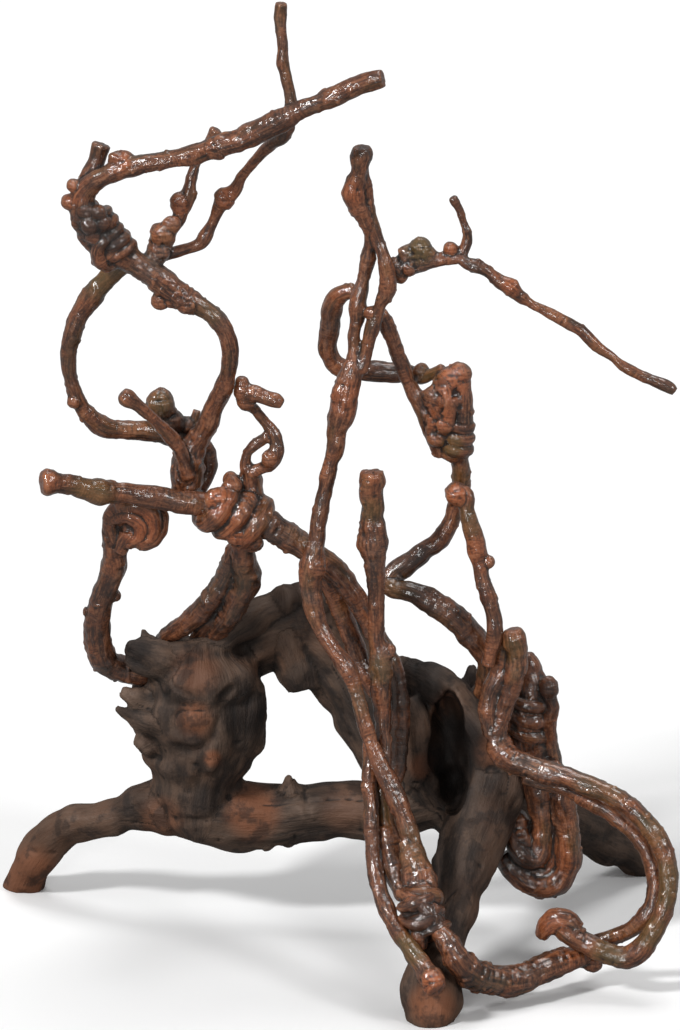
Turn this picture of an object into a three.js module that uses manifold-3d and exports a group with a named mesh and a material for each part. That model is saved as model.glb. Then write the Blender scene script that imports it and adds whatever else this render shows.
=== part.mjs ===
// Spiderwood root: a matt driftwood stump on three feet, with glossy roots that
// climb out of it, knot round each other and end in thin twigs.
//
// Every root is one continuous strand. Its route is a list of stations
// [right, down, back, radius] in millimetres, read off a front sheet that looks
// down on the object by SHEET_TILT degrees. Right and down are measured on the
// sheet from its top left corner, and back is the depth away from the viewer.

import * as THREE from "three";
import { mergeVertices } from "three/addons/utils/BufferGeometryUtils.js";
import Module from "manifold-3d";

const wasm = await Module();
wasm.setup();

// Driving dimensions, millimetres and degrees
const SHEET_TILT = 20;
const SHEET_MIDDLE = 169.3;
const SHEET_FLOOR = 476.5;
const MIDDLE_BACK = 4.3;
const TOUCH_GAP = 0.3;
const ROOT_STEP = 10;
const ROOT_SIDES = 7;
const WRAP_STEP = 8;
const SMALL_WRAP_STEP = 6;
const WRAP_SIDES = 6;
const WOOD_STEP = 14;
const WOOD_SIDES = 10;
const FACET_ALLOWANCE = 1.045;
const SMALL_LUMP = 3.7;
const FLOOR_SIZE = 600;
const ROOT_ROUGH = 0.05;
const WOOD_ROUGH = 0.07;
const POCKET_STEP = 8;
const CLEFT_STEP = 9;
const CLEFT_SIDES = 5;
const KNOT_HOLE_STEP = 12;
const KNOT_HOLE_SIDES = 6;
const WELD_DISTANCE = 1e-4;

const TILT = THREE.MathUtils.degToRad(SHEET_TILT);

// A point of the front sheet as a point of the part's own frame
function place(right, down, back) {
  const height = (SHEET_FLOOR - down - back * Math.sin(TILT)) / Math.cos(TILT);
  return new THREE.Vector3(right - SHEET_MIDDLE, back - MIDDLE_BACK, height);
}

// A closed geometry as a solid that can be joined and cut
function solidOf(geometry) {
  const bare = new THREE.BufferGeometry();
  bare.setAttribute("position", geometry.getAttribute("position"));
  bare.setIndex(geometry.index);
  const merged = mergeVertices(bare, WELD_DISTANCE);
  return new wasm.Manifold(
    new wasm.Mesh({
      numProp: 3,
      vertProperties: new Float32Array(merged.attributes.position.array),
      triVerts: new Uint32Array(merged.index.array),
    }),
  );
}

// The radius between stations, eased so that swellings have no corners
function radiusAt(stations, t) {
  const along = t * (stations.length - 1);
  const i = Math.min(Math.floor(along), stations.length - 2);
  const ease = THREE.MathUtils.smoothstep(along - i, 0, 1);
  return THREE.MathUtils.lerp(stations[i][3], stations[i + 1][3], ease);
}

// Slow waves round and along a limb, so that no section is a true circle
function unevenness(angle, t, rough, seed) {
  const lobes = Math.sin(2 * angle + 9 * t + seed) + Math.sin(3 * angle - 14 * t + 2.3 * seed);
  const swell = Math.sin(31 * t + 1.7 * seed) + Math.sin(5 * angle + 23 * t + 4.1 * seed);
  return 1 + rough * (0.6 * lobes + 0.4 * swell);
}

// A cylinder bent along a route, with a radius of its own at each station
function limb(stations, options = {}) {
  const { step = ROOT_STEP, sides = ROOT_SIDES, rough = ROOT_ROUGH, seed = 1 } = options;
  const points = stations.map(([right, down, back]) => place(right, down, back));
  return (grow) => {
    const curve = new THREE.CatmullRomCurve3(points, false, "centripetal");
    const segments = Math.max(3, Math.round(curve.getLength() / step));
    const frames = curve.computeFrenetFrames(segments, false);
    const tube = new THREE.CylinderGeometry(1, 1, 1, sides, segments);
    const vertices = tube.attributes.position;
    for (let i = 0; i < vertices.count; i += 1) {
      const share = vertices.getY(i) + 0.5;
      const station = Math.round(share * segments);
      const t = curve.getUtoTmapping(share);
      const [x, z] = [vertices.getX(i), vertices.getZ(i)];
      const uneven = unevenness(Math.atan2(z, x), t, rough, seed);
      const radius = radiusAt(stations, t) * uneven * FACET_ALLOWANCE + grow;
      const spot = curve.getPoint(t);
      spot.addScaledVector(frames.normals[station], radius * x);
      spot.addScaledVector(frames.binormals[station], -radius * z);
      vertices.setXYZ(i, spot.x, spot.y, spot.z);
    }
    return solidOf(tube);
  };
}

// A lump or burl: a ball with its own width, depth and height
function lump(right, down, back, radius, stretch = [1, 1, 1], detail = radius < SMALL_LUMP ? 0 : 1) {
  const centre = place(right, down, back);
  return (grow) => {
    const ball = new THREE.IcosahedronGeometry(1, detail);
    ball.scale(...stretch.map((share) => share * radius + grow));
    ball.translate(centre.x, centre.y, centre.z);
    return solidOf(ball);
  };
}

// Stations of a strand that winds round the line between two points
function winding(from, to, { turns, reach, radius, start = 0, perTurn = 8 }) {
  const [a, b] = [place(...from), place(...to)];
  const axis = b.clone().sub(a).normalize();
  const up = Math.abs(axis.z) < 0.8 ? new THREE.Vector3(0, 0, 1) : new THREE.Vector3(0, 1, 0);
  const across = new THREE.Vector3().crossVectors(axis, up).normalize();
  const over = new THREE.Vector3().crossVectors(across, axis);
  const count = Math.round(turns * perTurn);
  const stations = [];
  for (let i = 0; i <= count; i += 1) {
    const angle = THREE.MathUtils.degToRad(start) + (i / perTurn) * 2 * Math.PI;
    const spot = a.clone().lerp(b, i / count);
    spot.addScaledVector(across, reach * Math.cos(angle));
    spot.addScaledVector(over, reach * Math.sin(angle));
    const down = SHEET_FLOOR - spot.z * Math.cos(TILT) - (spot.y + MIDDLE_BACK) * Math.sin(TILT);
    stations.push([spot.x + SHEET_MIDDLE, down, spot.y + MIDDLE_BACK, radius]);
  }
  return stations;
}

// Stump

const wood = (stations, seed) =>
  limb(stations, { step: WOOD_STEP, sides: WOOD_SIDES, rough: WOOD_ROUGH, seed });

function stumpWood() {
  return [
    // left leg, from the foot up to the log
    wood([[10, 448, 94, 11], [12.5, 440, 89, 10.5], [18, 428, 81, 10], [26, 418.5, 75, 10.2],
      [36, 413, 69, 9.8], [50, 410.5, 61, 8.2], [60, 408, 56, 9], [72, 405.5, 50, 12], [84, 404, 45, 16],
      [98, 403, 42, 18]], 1),
    // log that lies between the legs
    wood([[84, 404, 44, 15.5], [104, 406, 42, 17.5], [122, 408.5, 41, 17.5], [140, 408, 40, 16],
      [155, 406.5, 38, 15], [172, 405, 37, 15], [188, 406, 36, 15.5], [202, 405, 33, 14.5],
      [214, 402, 28, 14], [228, 400, 24, 16]], 2),
    // upright block on the left: neck, swollen body and shoulder
    wood([[97, 403, 42, 20], [97, 391, 43, 22], [98.5, 379, 44, 28], [100, 364, 45, 32], [98, 350, 46, 34],
      [100, 336, 47, 31], [106, 327, 50, 23]], 3),
    // darker lobe beside it, split off by a cleft
    wood([[110, 388, 30, 8], [117, 376, 24, 11], [121, 362, 24, 11], [123, 350, 26, 11.5],
      [122, 338, 34, 10]], 4),
    // bridge from the block over to the right bulk, with its heavy lobe
    wood([[106, 334, 50, 18], [124, 322, 54, 18], [138, 315, 56, 19], [152, 314, 56, 20],
      [166, 320, 54, 21], [178, 336, 50, 21], [188, 356, 44, 20], [200, 380, 38, 19]], 5),
    wood([[146, 318, 50, 15], [150, 334, 46, 13], [153, 345, 44, 9.5]], 6),
    wood([[160, 330, 50, 13], [167, 343, 48, 11], [178, 354, 44, 10.5], [187, 370, 40, 11]], 14),
    // right bulk and its raised rim
    wood([[205, 340, 40, 13], [213, 350, 36, 21], [222, 362, 32, 28], [228, 378, 30, 30],
      [234, 395, 32, 27], [243, 412, 35, 21]], 7),
    wood([[204, 336, 36, 7], [216, 341, 20, 9], [230, 352, 8, 10], [241, 366, 4, 11], [249, 388, 6, 12]],
      8),
    // front leg, down to its foot
    wood([[245, 362, 30, 17], [247, 384, 15, 20], [241, 405, 0, 19], [236, 420, -14, 17],
      [230.5, 435, -30, 15], [228, 450, -47, 12], [223.5, 465, -62, 11.5], [219, 480, -75, 12.5],
      [216.5, 493, -86, 14.5], [215.5, 505, -94, 15.5], [215.5, 514, -98, 15]], 9),
    // right leg, away to the back
    wood([[246, 396, 32, 20], [264, 402, 47, 17], [282, 410, 67, 15], [299, 416.5, 88, 14],
      [314, 423.5, 107, 13], [325, 430.5, 119, 12.5]], 10),
    // ear over the pocket, and the two spikes below it
    wood([[94, 336, 30, 10], [80, 328, 24, 8.5], [69, 323.5, 20, 4.6], [60, 321.5, 18, 3]], 11),
    wood([[84, 362, 28, 11], [72, 361, 22, 7], [57, 354, 18, 2.4]], 12),
    wood([[82, 350, 30, 9], [69, 350, 24, 6], [60.5, 346, 22, 3]], 13),
    wood([[82, 372, 34, 11], [74, 372, 30, 7], [70, 375, 28, 4]], 15),
    // stub on top of the log, and two knots under it
    wood([[145, 398, 38, 9], [145, 391, 36, 4.5], [144.5, 388, 35, 2.6]], 16),
    lump(133, 422, 34, 5),
    lump(144, 421, 34, 4.5),
  ];
}

function stumpHollows() {
  return [
    // pocket in the top of the block, where two roots go in
    limb([[52, 334, 26, 8], [66, 335, 32, 8.5], [80, 333, 42, 9], [92, 324, 46, 9]], { step: POCKET_STEP }),
    // cleft between the block and its lobe
    limb([[84, 372, 8, 3], [96, 376, 10, 3.4], [106, 372, 12, 3.2], [112, 360, 10, 2.8],
      [114, 346, 12, 2.4]], { step: CLEFT_STEP, sides: CLEFT_SIDES }),
    // small knot hole in the front of the block
    limb([[84, 333, 4, 3], [85.5, 333, 16, 2.6]], { step: KNOT_HOLE_STEP, sides: KNOT_HOLE_SIDES }),
    // big dark hollow of the bulk
    lump(217, 372, 2, 14, [0.75, 1.6, 2.1], 2),
    lump(224, 394, 0, 10, [0.8, 2, 1.2], 1),
  ];
}

// Roots, each one continuous strand

function archStrand() {
  return [
    limb([[21.5, 241.5, -25, 5.8], [25, 241.3, -24, 6.4], [30, 241.8, -22.5, 5.2], [37, 242.5, -20, 5],
      [43, 244.3, -18, 5.7], [50, 246, -16, 6.2], [60, 246.2, -12.5, 5.4], [70, 247.5, -9.5, 5.6],
      [80, 249, -7, 5.4], [90, 251, -4.5, 5.6], [100, 252, -3, 5.6], [112, 255, -1.5, 6],
      [125, 259, 0, 6.4], [138, 264.5, 0, 6.9], [151, 273, 0, 6.7], [163, 281.5, -1, 6.4],
      [169, 287, -1.5, 6.2], [175, 294.5, -2, 6], [181, 305, -3, 5], [186, 314, -4, 4.6],
      [191.5, 322.5, -5, 4.6], [196, 331, -6, 4.6], [199, 340, -7, 4.6], [200, 350, -8, 4.6],
      [200, 365, -9, 4.6], [199.5, 375, -10, 4.4], [198.5, 384, -11, 3.6]], { seed: 21 }),
    limb([[158, 280, 3, 3.5], [162, 288, 5, 4.4], [167, 297, 6, 4.6], [172, 309, 5, 4.6],
      [177, 322, 3, 4.6], [181, 334, 0, 4.6], [186, 344, -3, 4.4], [192, 350, -6, 3.6]], { seed: 22 }),
  ];
}

function tallStrand() {
  return [
    limb([[181, 74.5, -5, 4.4], [180.8, 79, -5, 5.7], [179.5, 86, -5, 4.1], [178, 92, -5, 5.2],
      [176.8, 97.5, -5, 5.9], [179, 104, -5, 4.8], [182, 110, -5.5, 3.8], [185, 116, -4.5, 3.2],
      [185, 122, -3, 3.2], [184, 130, -2, 3.8], [183, 135, -2, 3.3], [181.8, 140, -2.5, 3.2],
      [180.3, 146, -3.5, 4.2], [178.8, 151, -4, 4.1], [178.5, 156, -4.5, 4.3], [178.3, 161, -5, 3.7],
      [177, 166, -6, 2.9], [177, 173, -7, 3], [177, 180, -8.5, 4], [176, 186, -10, 5.6],
      [174.5, 191, -11, 6.4], [173, 197, -12, 6.8], [172, 204, -12.5, 6.7], [170, 210, -13, 6.4],
      [168.5, 215, -13.5, 5], [168.3, 220, -14, 4], [167.8, 225, -14.5, 4], [165.5, 231, -15, 3.2],
      [164, 238, -16, 3.3], [162.2, 246, -17, 3.5], [160.5, 255, -18.5, 3.7], [159, 262.5, -20, 3.4],
      [158.5, 270, -21, 3.4], [157, 276, -22, 5.2], [156, 283, -23, 7], [155.5, 290, -24, 6],
      [155.7, 297, -25, 5], [157.5, 306, -26.5, 4.3], [160.5, 314.5, -28.5, 4.1], [166.5, 324, -31.5, 4.1],
      [172, 331, -34, 4.8], [176, 339.5, -37, 4], [178.8, 349, -39.5, 3.5], [181, 357.5, -41.5, 3.5],
      [184, 367.5, -43.5, 3.6], [187, 375, -45.5, 4], [190.5, 383, -48, 4.4], [194.5, 391, -51, 4.8],
      [198.5, 400, -54.5, 4.8], [202, 409, -58, 4.8], [205.5, 420, -62, 5], [208, 430, -66, 5.5],
      [211, 440, -71, 6], [212, 448, -76, 6.5]], { seed: 61 }),
    limb([[181.5, 84, -3.5, 2.8], [183.5, 95, -2.5, 2.8], [185, 105, -3, 2.8], [187, 116, -5, 3.2],
      [189, 121, -6, 3.2], [191.5, 128, -8, 3.2], [193, 134, -9, 4], [194, 142, -10, 4.6],
      [192.8, 148, -10, 4.3], [190.3, 152, -9.5, 3], [189, 157, -9, 2.8], [186.5, 163, -9, 3.6],
      [184.5, 170, -9, 3.3], [183, 177, -9.5, 3.2], [180, 186, -10.5, 4]], { seed: 62 }),
    lump(185.5, 157, -8, 3.5),
    // knot at the bottom, against the front leg
    limb(winding([210, 443, -75], [213, 471, -85], { turns: 3.6, reach: 7, radius: 4.4, start: 55 }),
      { step: WRAP_STEP, sides: WRAP_SIDES, seed: 63 }),
    lump(212, 457, -80, 8.4, [0.9, 0.9, 1.5]),
  ];
}

function uprightStick() {
  return [
    limb([[186, 235.5, -25, 6.2], [186, 238.5, -25, 6.5], [185.7, 245, -25, 5.8], [186.5, 252.5, -25, 5.4],
      [186, 257.5, -25, 5.3], [186.3, 263.5, -25, 7.2], [186.3, 270, -25, 7.4], [186.5, 275, -25, 6.5],
      [187.3, 280, -25, 5.2], [188, 290, -25, 4.5], [188, 300, -25, 4], [188.2, 310, -25, 4.2],
      [188.5, 320, -25, 4.2], [190, 328, -25.5, 5.2], [190.5, 335, -26, 5.5], [190.5, 345, -27, 5],
      [191, 355, -28, 4.5], [191.5, 365, -30, 4.2], [192, 373, -32.5, 3.8], [192, 381, -35.5, 4],
      [190.5, 390, -38, 4.2], [191.5, 400, -42, 4.4], [192.5, 410, -47, 4.6], [194, 420, -52, 5.4],
      [196, 430, -57, 6], [200, 441, -64, 6.2], [204, 448, -70, 5.5]], { seed: 101 }),
    lump(194.5, 325, -25, 3.4),
  ];
}

function clubStrand() {
  return [
    limb([[256.5, 314.5, -20, 4.6], [257.5, 320, -20, 5.5], [258.5, 326, -20, 5.6], [258.5, 333, -20, 5],
      [256.5, 341, -19.5, 4.6], [253.5, 350, -19, 4.4], [250.5, 359, -19.5, 4.4], [248.5, 366, -20, 5],
      [250, 374, -22, 6.4], [256, 380.5, -26, 6.5], [264, 383, -29, 6], [273, 386.5, -32, 5.5],
      [283, 389, -36, 5.5], [293, 392.5, -39.5, 5.2], [304, 397, -43.5, 5], [315, 403.5, -47.5, 5],
      [323.5, 412, -51.5, 5], [330, 421.5, -55.5, 5], [333.5, 432, -59.5, 5], [334.5, 442, -63, 5],
      [333, 452, -66, 5], [329.5, 461, -68, 5.2], [324.5, 469, -69, 5.4], [319, 476, -69, 5.5],
      [312, 479, -68, 5.6], [304, 477, -66.5, 5.6], [296, 473, -65, 5.6], [289, 469.5, -64, 5.6],
      [283, 465, -63, 6], [279, 462.5, -62, 5]], { seed: 111 }),
    limb([[252, 319, -17, 3.8], [251.5, 329, -16, 4.4], [249.5, 338, -16, 5], [246, 346, -17, 5.2],
      [244.5, 356, -18, 5], [246, 368, -20, 5]], { seed: 112 }),
    // mushroom head that ends the strand
    limb([[270.5, 469, -61, 3.6], [273, 464, -61.5, 5.2], [278, 460.5, -62, 6.2], [284, 461, -62.5, 6],
      [289, 465, -63, 4.2]], { step: WRAP_STEP, seed: 113 }),
  ];
}

function nooseStrand() {
  return [
    limb([[190.5, 156, 2, 2.8], [193, 161, 4, 3.6], [195.5, 167.5, 5.5, 3.8], [198.5, 176, 6.5, 3.8],
      [203, 188, 7, 3.8], [207, 197, 6.5, 4], [212, 206, 6, 4.6], [216, 215, 5.5, 5], [219, 222, 5.5, 4.6],
      [220.5, 228, 5.5, 3.2]], { seed: 81 }),
    limb([[178, 146, 13, 3.5], [174, 146, 15, 4.2], [169, 148.5, 17, 4.8], [166, 154, 18.5, 5.2],
      [165.2, 162, 19.5, 5.1], [164, 170, 20, 4.6], [164, 176, 20, 4.5], [167, 181.5, 20, 4.4],
      [172, 184.5, 20, 4.5], [180, 185.5, 20, 4.5], [188, 185.8, 20, 5], [196, 186.5, 19, 5.2],
      [204, 186.5, 17, 4.4], [210, 189, 14, 3.6], [216, 187, 10, 3], [222, 184.5, 7, 3]], { seed: 82 }),
    lump(210.5, 187, 14, 4.5, [1, 0.7, 1.3]),
    // knotted head: three columns, bound by wraps
    lump(226, 191, 4, 7.4, [1, 0.9, 1.15]),
    limb([[229, 190, 3, 6], [231, 198, 2, 5.2], [231, 205, 2, 5], [231, 211, 2, 5]], { seed: 83 }),
    limb([[217, 195, 4, 4.5], [220, 203, 3.5, 5], [221.5, 212, 3.5, 5], [224, 221, 4, 5]], { seed: 84 }),
    limb([[223, 196, 1, 5], [225, 204, 0, 5], [226, 211, 0, 4.5], [227, 217, -1, 4.5]], { seed: 85 }),
    limb(winding([229, 209, 3.5], [229, 226, 4.5], { turns: 3, reach: 5.4, radius: 3.2, start: 90 }),
      { step: SMALL_WRAP_STEP, sides: WRAP_SIDES, seed: 86 }),
    lump(226, 227, 3, 4.5),
    limb([[229, 222, 5, 5], [230, 230, 6, 4.8], [230.5, 237, 7, 4.7], [230, 246, 8, 4.4],
      [227.5, 253, 8.5, 3.8], [225.5, 261, 8.5, 4.1], [222.5, 266, 8, 4.3], [218.5, 271.5, 7.5, 4.8],
      [212.5, 275, 7, 5.2], [206, 280.5, 6, 5.4], [199.5, 285, 5, 5.2], [194, 289.5, 3, 4.8],
      [191.5, 292, 1, 4]], { seed: 87 }),
    limb([[192, 291, 2, 4.5], [197.5, 294.5, -2, 5.2], [205, 296, -4, 5.3], [212.5, 299, -5, 5.7],
      [220, 303.5, -5.5, 6], [227.5, 309, -5, 6.4], [234, 316, -4, 6.4], [239, 322, -3, 5.8],
      [243, 330, 0, 5], [243, 340, 6, 4.6], [240, 350, 12, 4]], { seed: 88 }),
  ];
}

function crownStrand() {
  return [
    limb([[92.5, 246, 7, 6.5], [94, 238, 8, 8.2], [95, 228, 7.5, 8], [98, 221, 6, 6], [102.5, 215, 4, 5],
      [107, 204, 0, 4.7], [111.5, 195, -4, 4.5], [114.5, 185, -8, 4.1], [115.3, 175, -11, 4],
      [112.5, 165.5, -12, 4.5], [107, 158, -12, 4.9], [100, 153, -11, 5], [91, 148.5, -10, 6.6],
      [82, 142, -9.5, 6.8], [73, 135.5, -9, 6.4], [67, 131.5, -8.5, 6.2], [60, 126.5, -8.5, 8],
      [54, 123, -8.5, 9.8], [48.5, 117, -9, 9.6], [44, 109.5, -10, 8], [42, 102, -11, 6.6],
      [43.5, 96, -12.5, 6], [48, 91.5, -14, 5.2], [54, 88.5, -15.5, 4.8], [60, 86, -16.5, 4.8],
      [70, 83.5, -18, 4.1], [80, 81.5, -19, 4], [90, 80, -20, 4], [100, 77.5, -21.5, 4.8],
      [110, 73.5, -23, 4.8], [120, 71, -25, 5], [130, 66.5, -27, 5.2], [140, 62, -29, 4.6],
      [150, 56.5, -31, 4], [160, 52.5, -33, 3.8], [170, 48.5, -35, 4.4], [180, 44, -37, 4.3],
      [188, 41.5, -38.5, 4.2], [191.5, 40.8, -39, 4]], { seed: 41 }),
    limb([[43, 101, -9.5, 5], [45, 92, -8.5, 5], [48.5, 82.5, -7, 4.6], [51.5, 73, -5.5, 4.6]],
      { seed: 42 }),
    limb([[94, 238, 2, 4], [89.5, 224, -3, 3.6], [82, 215, -7, 3.4], [74.5, 207.5, -10, 3],
      [68, 202, -12, 3], [63.5, 199, -13, 4.2], [61, 197, -13, 3.4]], { seed: 43 }),
    // two thin twigs that leave the back of the bend
    limb([[76, 131, -5, 5], [80, 125, -3, 5.5], [82, 118, -1, 5.6], [89, 111, 2, 4], [92, 105, 4, 3.6],
      [94.5, 98, 5, 4], [95.8, 91, 6, 3], [98, 83, 7, 2.5], [102, 76, 7.5, 2.4], [106, 70, 8, 2.6],
      [108.5, 65.5, 8, 3.1]], { seed: 44 }),
    limb([[80, 128, -1, 4.5], [85, 127.5, 1, 3], [90, 125.8, 2, 3], [95, 124.3, 3, 2.9], [100, 122.5, 4, 3],
      [103, 118.5, 4, 3.5], [107, 110.5, 4, 2.8], [109.5, 105, 4, 3.8], [113, 99.5, 3, 5],
      [117.5, 95.5, 2, 3.6], [121, 89, 0, 3], [125, 84, -2, 2.8], [131, 77.5, -6, 3], [136, 73, -11, 3.4],
      [142, 69, -17, 3.4], [145, 61, -22, 3.2], [145.5, 52, -22, 3.2], [144, 44, -21, 2.8],
      [142.5, 37, -20, 3.1], [141.5, 33, -19, 3.7], [141.5, 24, -18, 2.8], [140.5, 15, -17, 2.8],
      [140.5, 7, -16, 3.4], [140.8, 3, -16, 3.2]], { seed: 45 }),
    lump(53, 128, -9, 8.4),
    lump(37, 93.5, -13, 3.2),
    lump(35, 102, -12, 4),
    lump(61, 80.5, -15, 5, [1.4, 0.9, 0.8]),
    lump(81.5, 118, -3, 6.6),
    lump(86, 149, -10, 5.5),
  ];
}

function ringStrand() {
  return [
    limb([[67, 125, 2, 4], [60, 133.5, 5, 4.6], [52, 141.5, 6.5, 4.8], [45, 150, 7, 5.2],
      [39.5, 158.5, 7, 4.4], [36, 168, 7, 4.5], [34.3, 180, 7, 4.3], [35.5, 190, 7, 3.8], [39, 200, 7.5, 4],
      [44, 207.5, 8.5, 4.5], [51.5, 213.5, 10, 4.9], [60, 215, 12, 4.9], [70, 215, 14, 4.8],
      [80, 216.5, 17, 4.6], [90, 219, 20, 5.5], [98, 221, 22, 5.5], [103, 225, 22.5, 4.5],
      [104.3, 231, 22, 4.2], [103, 238, 20, 4.2], [99, 245, 16, 4.2]], { seed: 51 }),
    lump(80, 202, 15, 8, [0.95, 0.9, 1], 2),
    lump(86, 210.5, 17, 6.2),
    lump(93, 213, 19, 4.4),
    limb([[96, 219, 21, 4], [97, 212, 20, 2.8], [98.5, 205, 19, 2.2]], { seed: 52 }),
    lump(37, 201, 5, 3.2),
  ];
}

function leftRiser() {
  return [
    limb([[82, 333, 44, 4.5], [75, 336, 38, 6], [67.5, 336, 32, 6.4], [62, 335, 29, 6.4],
      [54, 332, 26, 6.8], [50, 327, 23.5, 7.1], [48.5, 320, 21, 7.1], [48, 310, 18, 6.8],
      [50.5, 300, 15, 6.2], [54, 291, 12, 6], [57, 283, 10, 6.4], [57, 275, 7, 5.8], [56, 268, 4, 5.2],
      [55.5, 261, 2, 3.8]], { seed: 11 }),
    limb([[57, 270, 3, 4.5], [55, 262, 2, 4.2], [57, 256.5, 1, 4.4], [62, 252.5, 0.5, 4.6],
      [70, 251.5, 1.5, 4.6], [77, 254, 2.5, 4.6], [79.5, 260, 2, 4.8], [77, 267.5, 0, 5.2],
      [71.5, 270.5, -1, 5], [66.5, 267.5, -1, 3.4]], { step: WRAP_STEP, seed: 12 }),
    limb([[60, 276, 1, 3.4], [64, 268, -1, 3.8], [70, 262, -1, 3.4], [76, 259, 0, 3]], { seed: 13 }),
    lump(57.5, 298, 14, 2.8),
    lump(43.5, 306, 17, 2.6),
  ];
}

function knottedRoot() {
  return [
    limb([[122, 270, 6, 6], [121.5, 280, 10, 6.5], [123.5, 290, 14, 6.5], [119, 300, 18, 6.5],
      [113.5, 308.5, 22, 6], [106.5, 316.5, 27, 5.5], [100, 323, 33, 5]], { seed: 31 }),
    limb([[118, 274, 12, 4.8], [113, 287, 17, 5], [108, 296, 20, 5.4], [101, 305, 24, 5.6],
      [93, 312, 28, 5.2], [84, 316.5, 32, 4.6], [76, 318.5, 36, 4], [72, 319, 40, 3.4]], { seed: 32 }),
    limb(winding([105, 251, -3], [132, 264, 0], { turns: 3.2, reach: 10.3, radius: 5, start: 200 }),
      { step: WRAP_STEP, sides: WRAP_SIDES, seed: 33 }),
    lump(109, 250, -11, 5.6),
    lump(119, 267, -8, 7),
    lump(115, 239.5, -1, 3.6),
    // hook twig with its small eye
    limb([[126, 258, 8, 6.5], [125.5, 248, 5, 6.2], [125, 240, 2, 6], [123.5, 234, 0, 4],
      [122.7, 231, 0, 3], [124.5, 225.5, 0, 3], [129, 221.5, 0, 3.2], [134, 218, -1, 3]], { seed: 34 }),
    limb([[125, 237, -1, 3.4], [130, 234.5, -2, 3.4], [135, 232, -2.5, 3.6], [138.3, 226, -2, 3.8],
      [138, 219, -1, 3.6], [134.8, 213.7, 0, 2.9], [131.6, 210, 0, 2.4], [128, 205.5, -1, 2.2],
      [124, 202, -2, 4]], { step: WRAP_STEP, seed: 35 }),
    lump(134.8, 229.5, -4, 4.4),
    lump(123.3, 201, -2, 5),
    lump(121.5, 196, -3, 4.8),
    lump(121, 191.5, -2.5, 3.4),
    limb([[122, 196, -3, 4.2], [127, 197, -5, 4.2], [132.5, 199, -7, 4], [138, 200.5, -9, 3.8],
      [141.5, 202, -10, 2.4]], { seed: 36 }),
  ];
}

function rightRiser() {
  return [
    limb([[231, 244.5, -8, 3.4], [234, 248, -9, 4], [233.5, 255, -10, 4], [234.5, 260, -11, 4.4],
      [237.5, 270, -12.5, 4.4], [238.8, 276, -13.5, 4.6], [239.5, 281, -14.5, 4], [241.5, 290, -16, 4.2],
      [244.5, 299, -17.5, 4], [246.8, 308, -19, 3.8], [247.5, 315, -20, 4], [247, 320, -20, 3.8],
      [245.5, 326, -20.5, 3.6], [244, 333, -21, 3.5]], { seed: 91 }),
    lump(228.5, 247.5, -8, 6.4),
    lump(244.5, 281, -15, 3),
  ];
}

function reachingTwig() {
  return [
    limb([[194.5, 132, -1, 3.8], [198, 134.5, 1, 5.6], [200, 134, 2, 6.2], [205, 132, 2, 6],
      [210, 131, 1, 5.2], [215, 130.3, 0, 4], [220, 130, -1, 3.4], [225, 130, -2, 2.8], [230, 130, -3, 2.6],
      [233, 132, -4, 3.3], [238, 133.3, -5, 4], [242, 135, -6, 3.5], [245.5, 137.5, -6.5, 3],
      [250, 141.3, -7.5, 3.3], [255, 144, -8.5, 4.8], [259.5, 148, -9, 3.6], [265, 152, -10, 2.3],
      [270, 154.5, -10.5, 2.5], [280, 160, -12, 2.7], [290, 165.5, -13, 2.9], [295, 170.5, -14, 2.8],
      [300, 175, -15, 2.6], [305, 178, -15.5, 2.5], [310, 182.5, -16.5, 2.5], [320, 188, -18, 2.8],
      [325, 190, -19, 2.6], [330, 192, -20, 2.9], [334, 193.8, -21, 2.9], [337, 196, -22, 2.2]],
      { seed: 71 }),
    limb([[230, 130.5, -2.5, 2.6], [232, 125, 0, 2.6], [233.5, 120, 1, 2.5], [233.3, 116, 1, 2.4],
      [231.3, 111, 2, 2.2], [229.5, 105, 2.5, 2.2], [227, 101, 3, 2.6], [226, 99, 3, 2.4]], { seed: 72 }),
    lump(210, 124.5, 1, 5.4),
    lump(200, 138.5, 0, 3.6),
    lump(225, 125, -1, 3.6),
  ];
}

function frontLoop() {
  return [
    limb([[262, 388.5, -24, 3.5], [272, 391, -26, 4.2], [282, 394, -29, 4.2], [292, 399, -33, 4.2],
      [302, 404.5, -37, 4.2], [311, 411.5, -41, 4.3], [319, 418.5, -45, 4.3], [324.5, 428, -49, 4.3],
      [327.5, 438, -53, 4.3], [327.5, 448, -56, 4.3], [324, 457, -58, 4.3], [317, 464, -57.5, 4.2],
      [309, 468, -55, 4.2], [301, 471, -53, 4.2], [295, 475.5, -52.5, 5], [287.5, 479, -57, 6.2],
      [279, 481.5, -63, 7], [271, 484.5, -69, 7], [264, 488, -74, 7], [256.5, 490, -78, 7.4],
      [250, 490.5, -82, 7.6], [242.5, 489, -87, 7.8], [235, 486, -93, 7.6], [229, 480, -98, 6.8],
      [224.5, 472.5, -96, 6], [219, 465, -92, 5]], { seed: 121 }),
    lump(296, 481.5, -54, 5.2),
  ];
}

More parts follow.
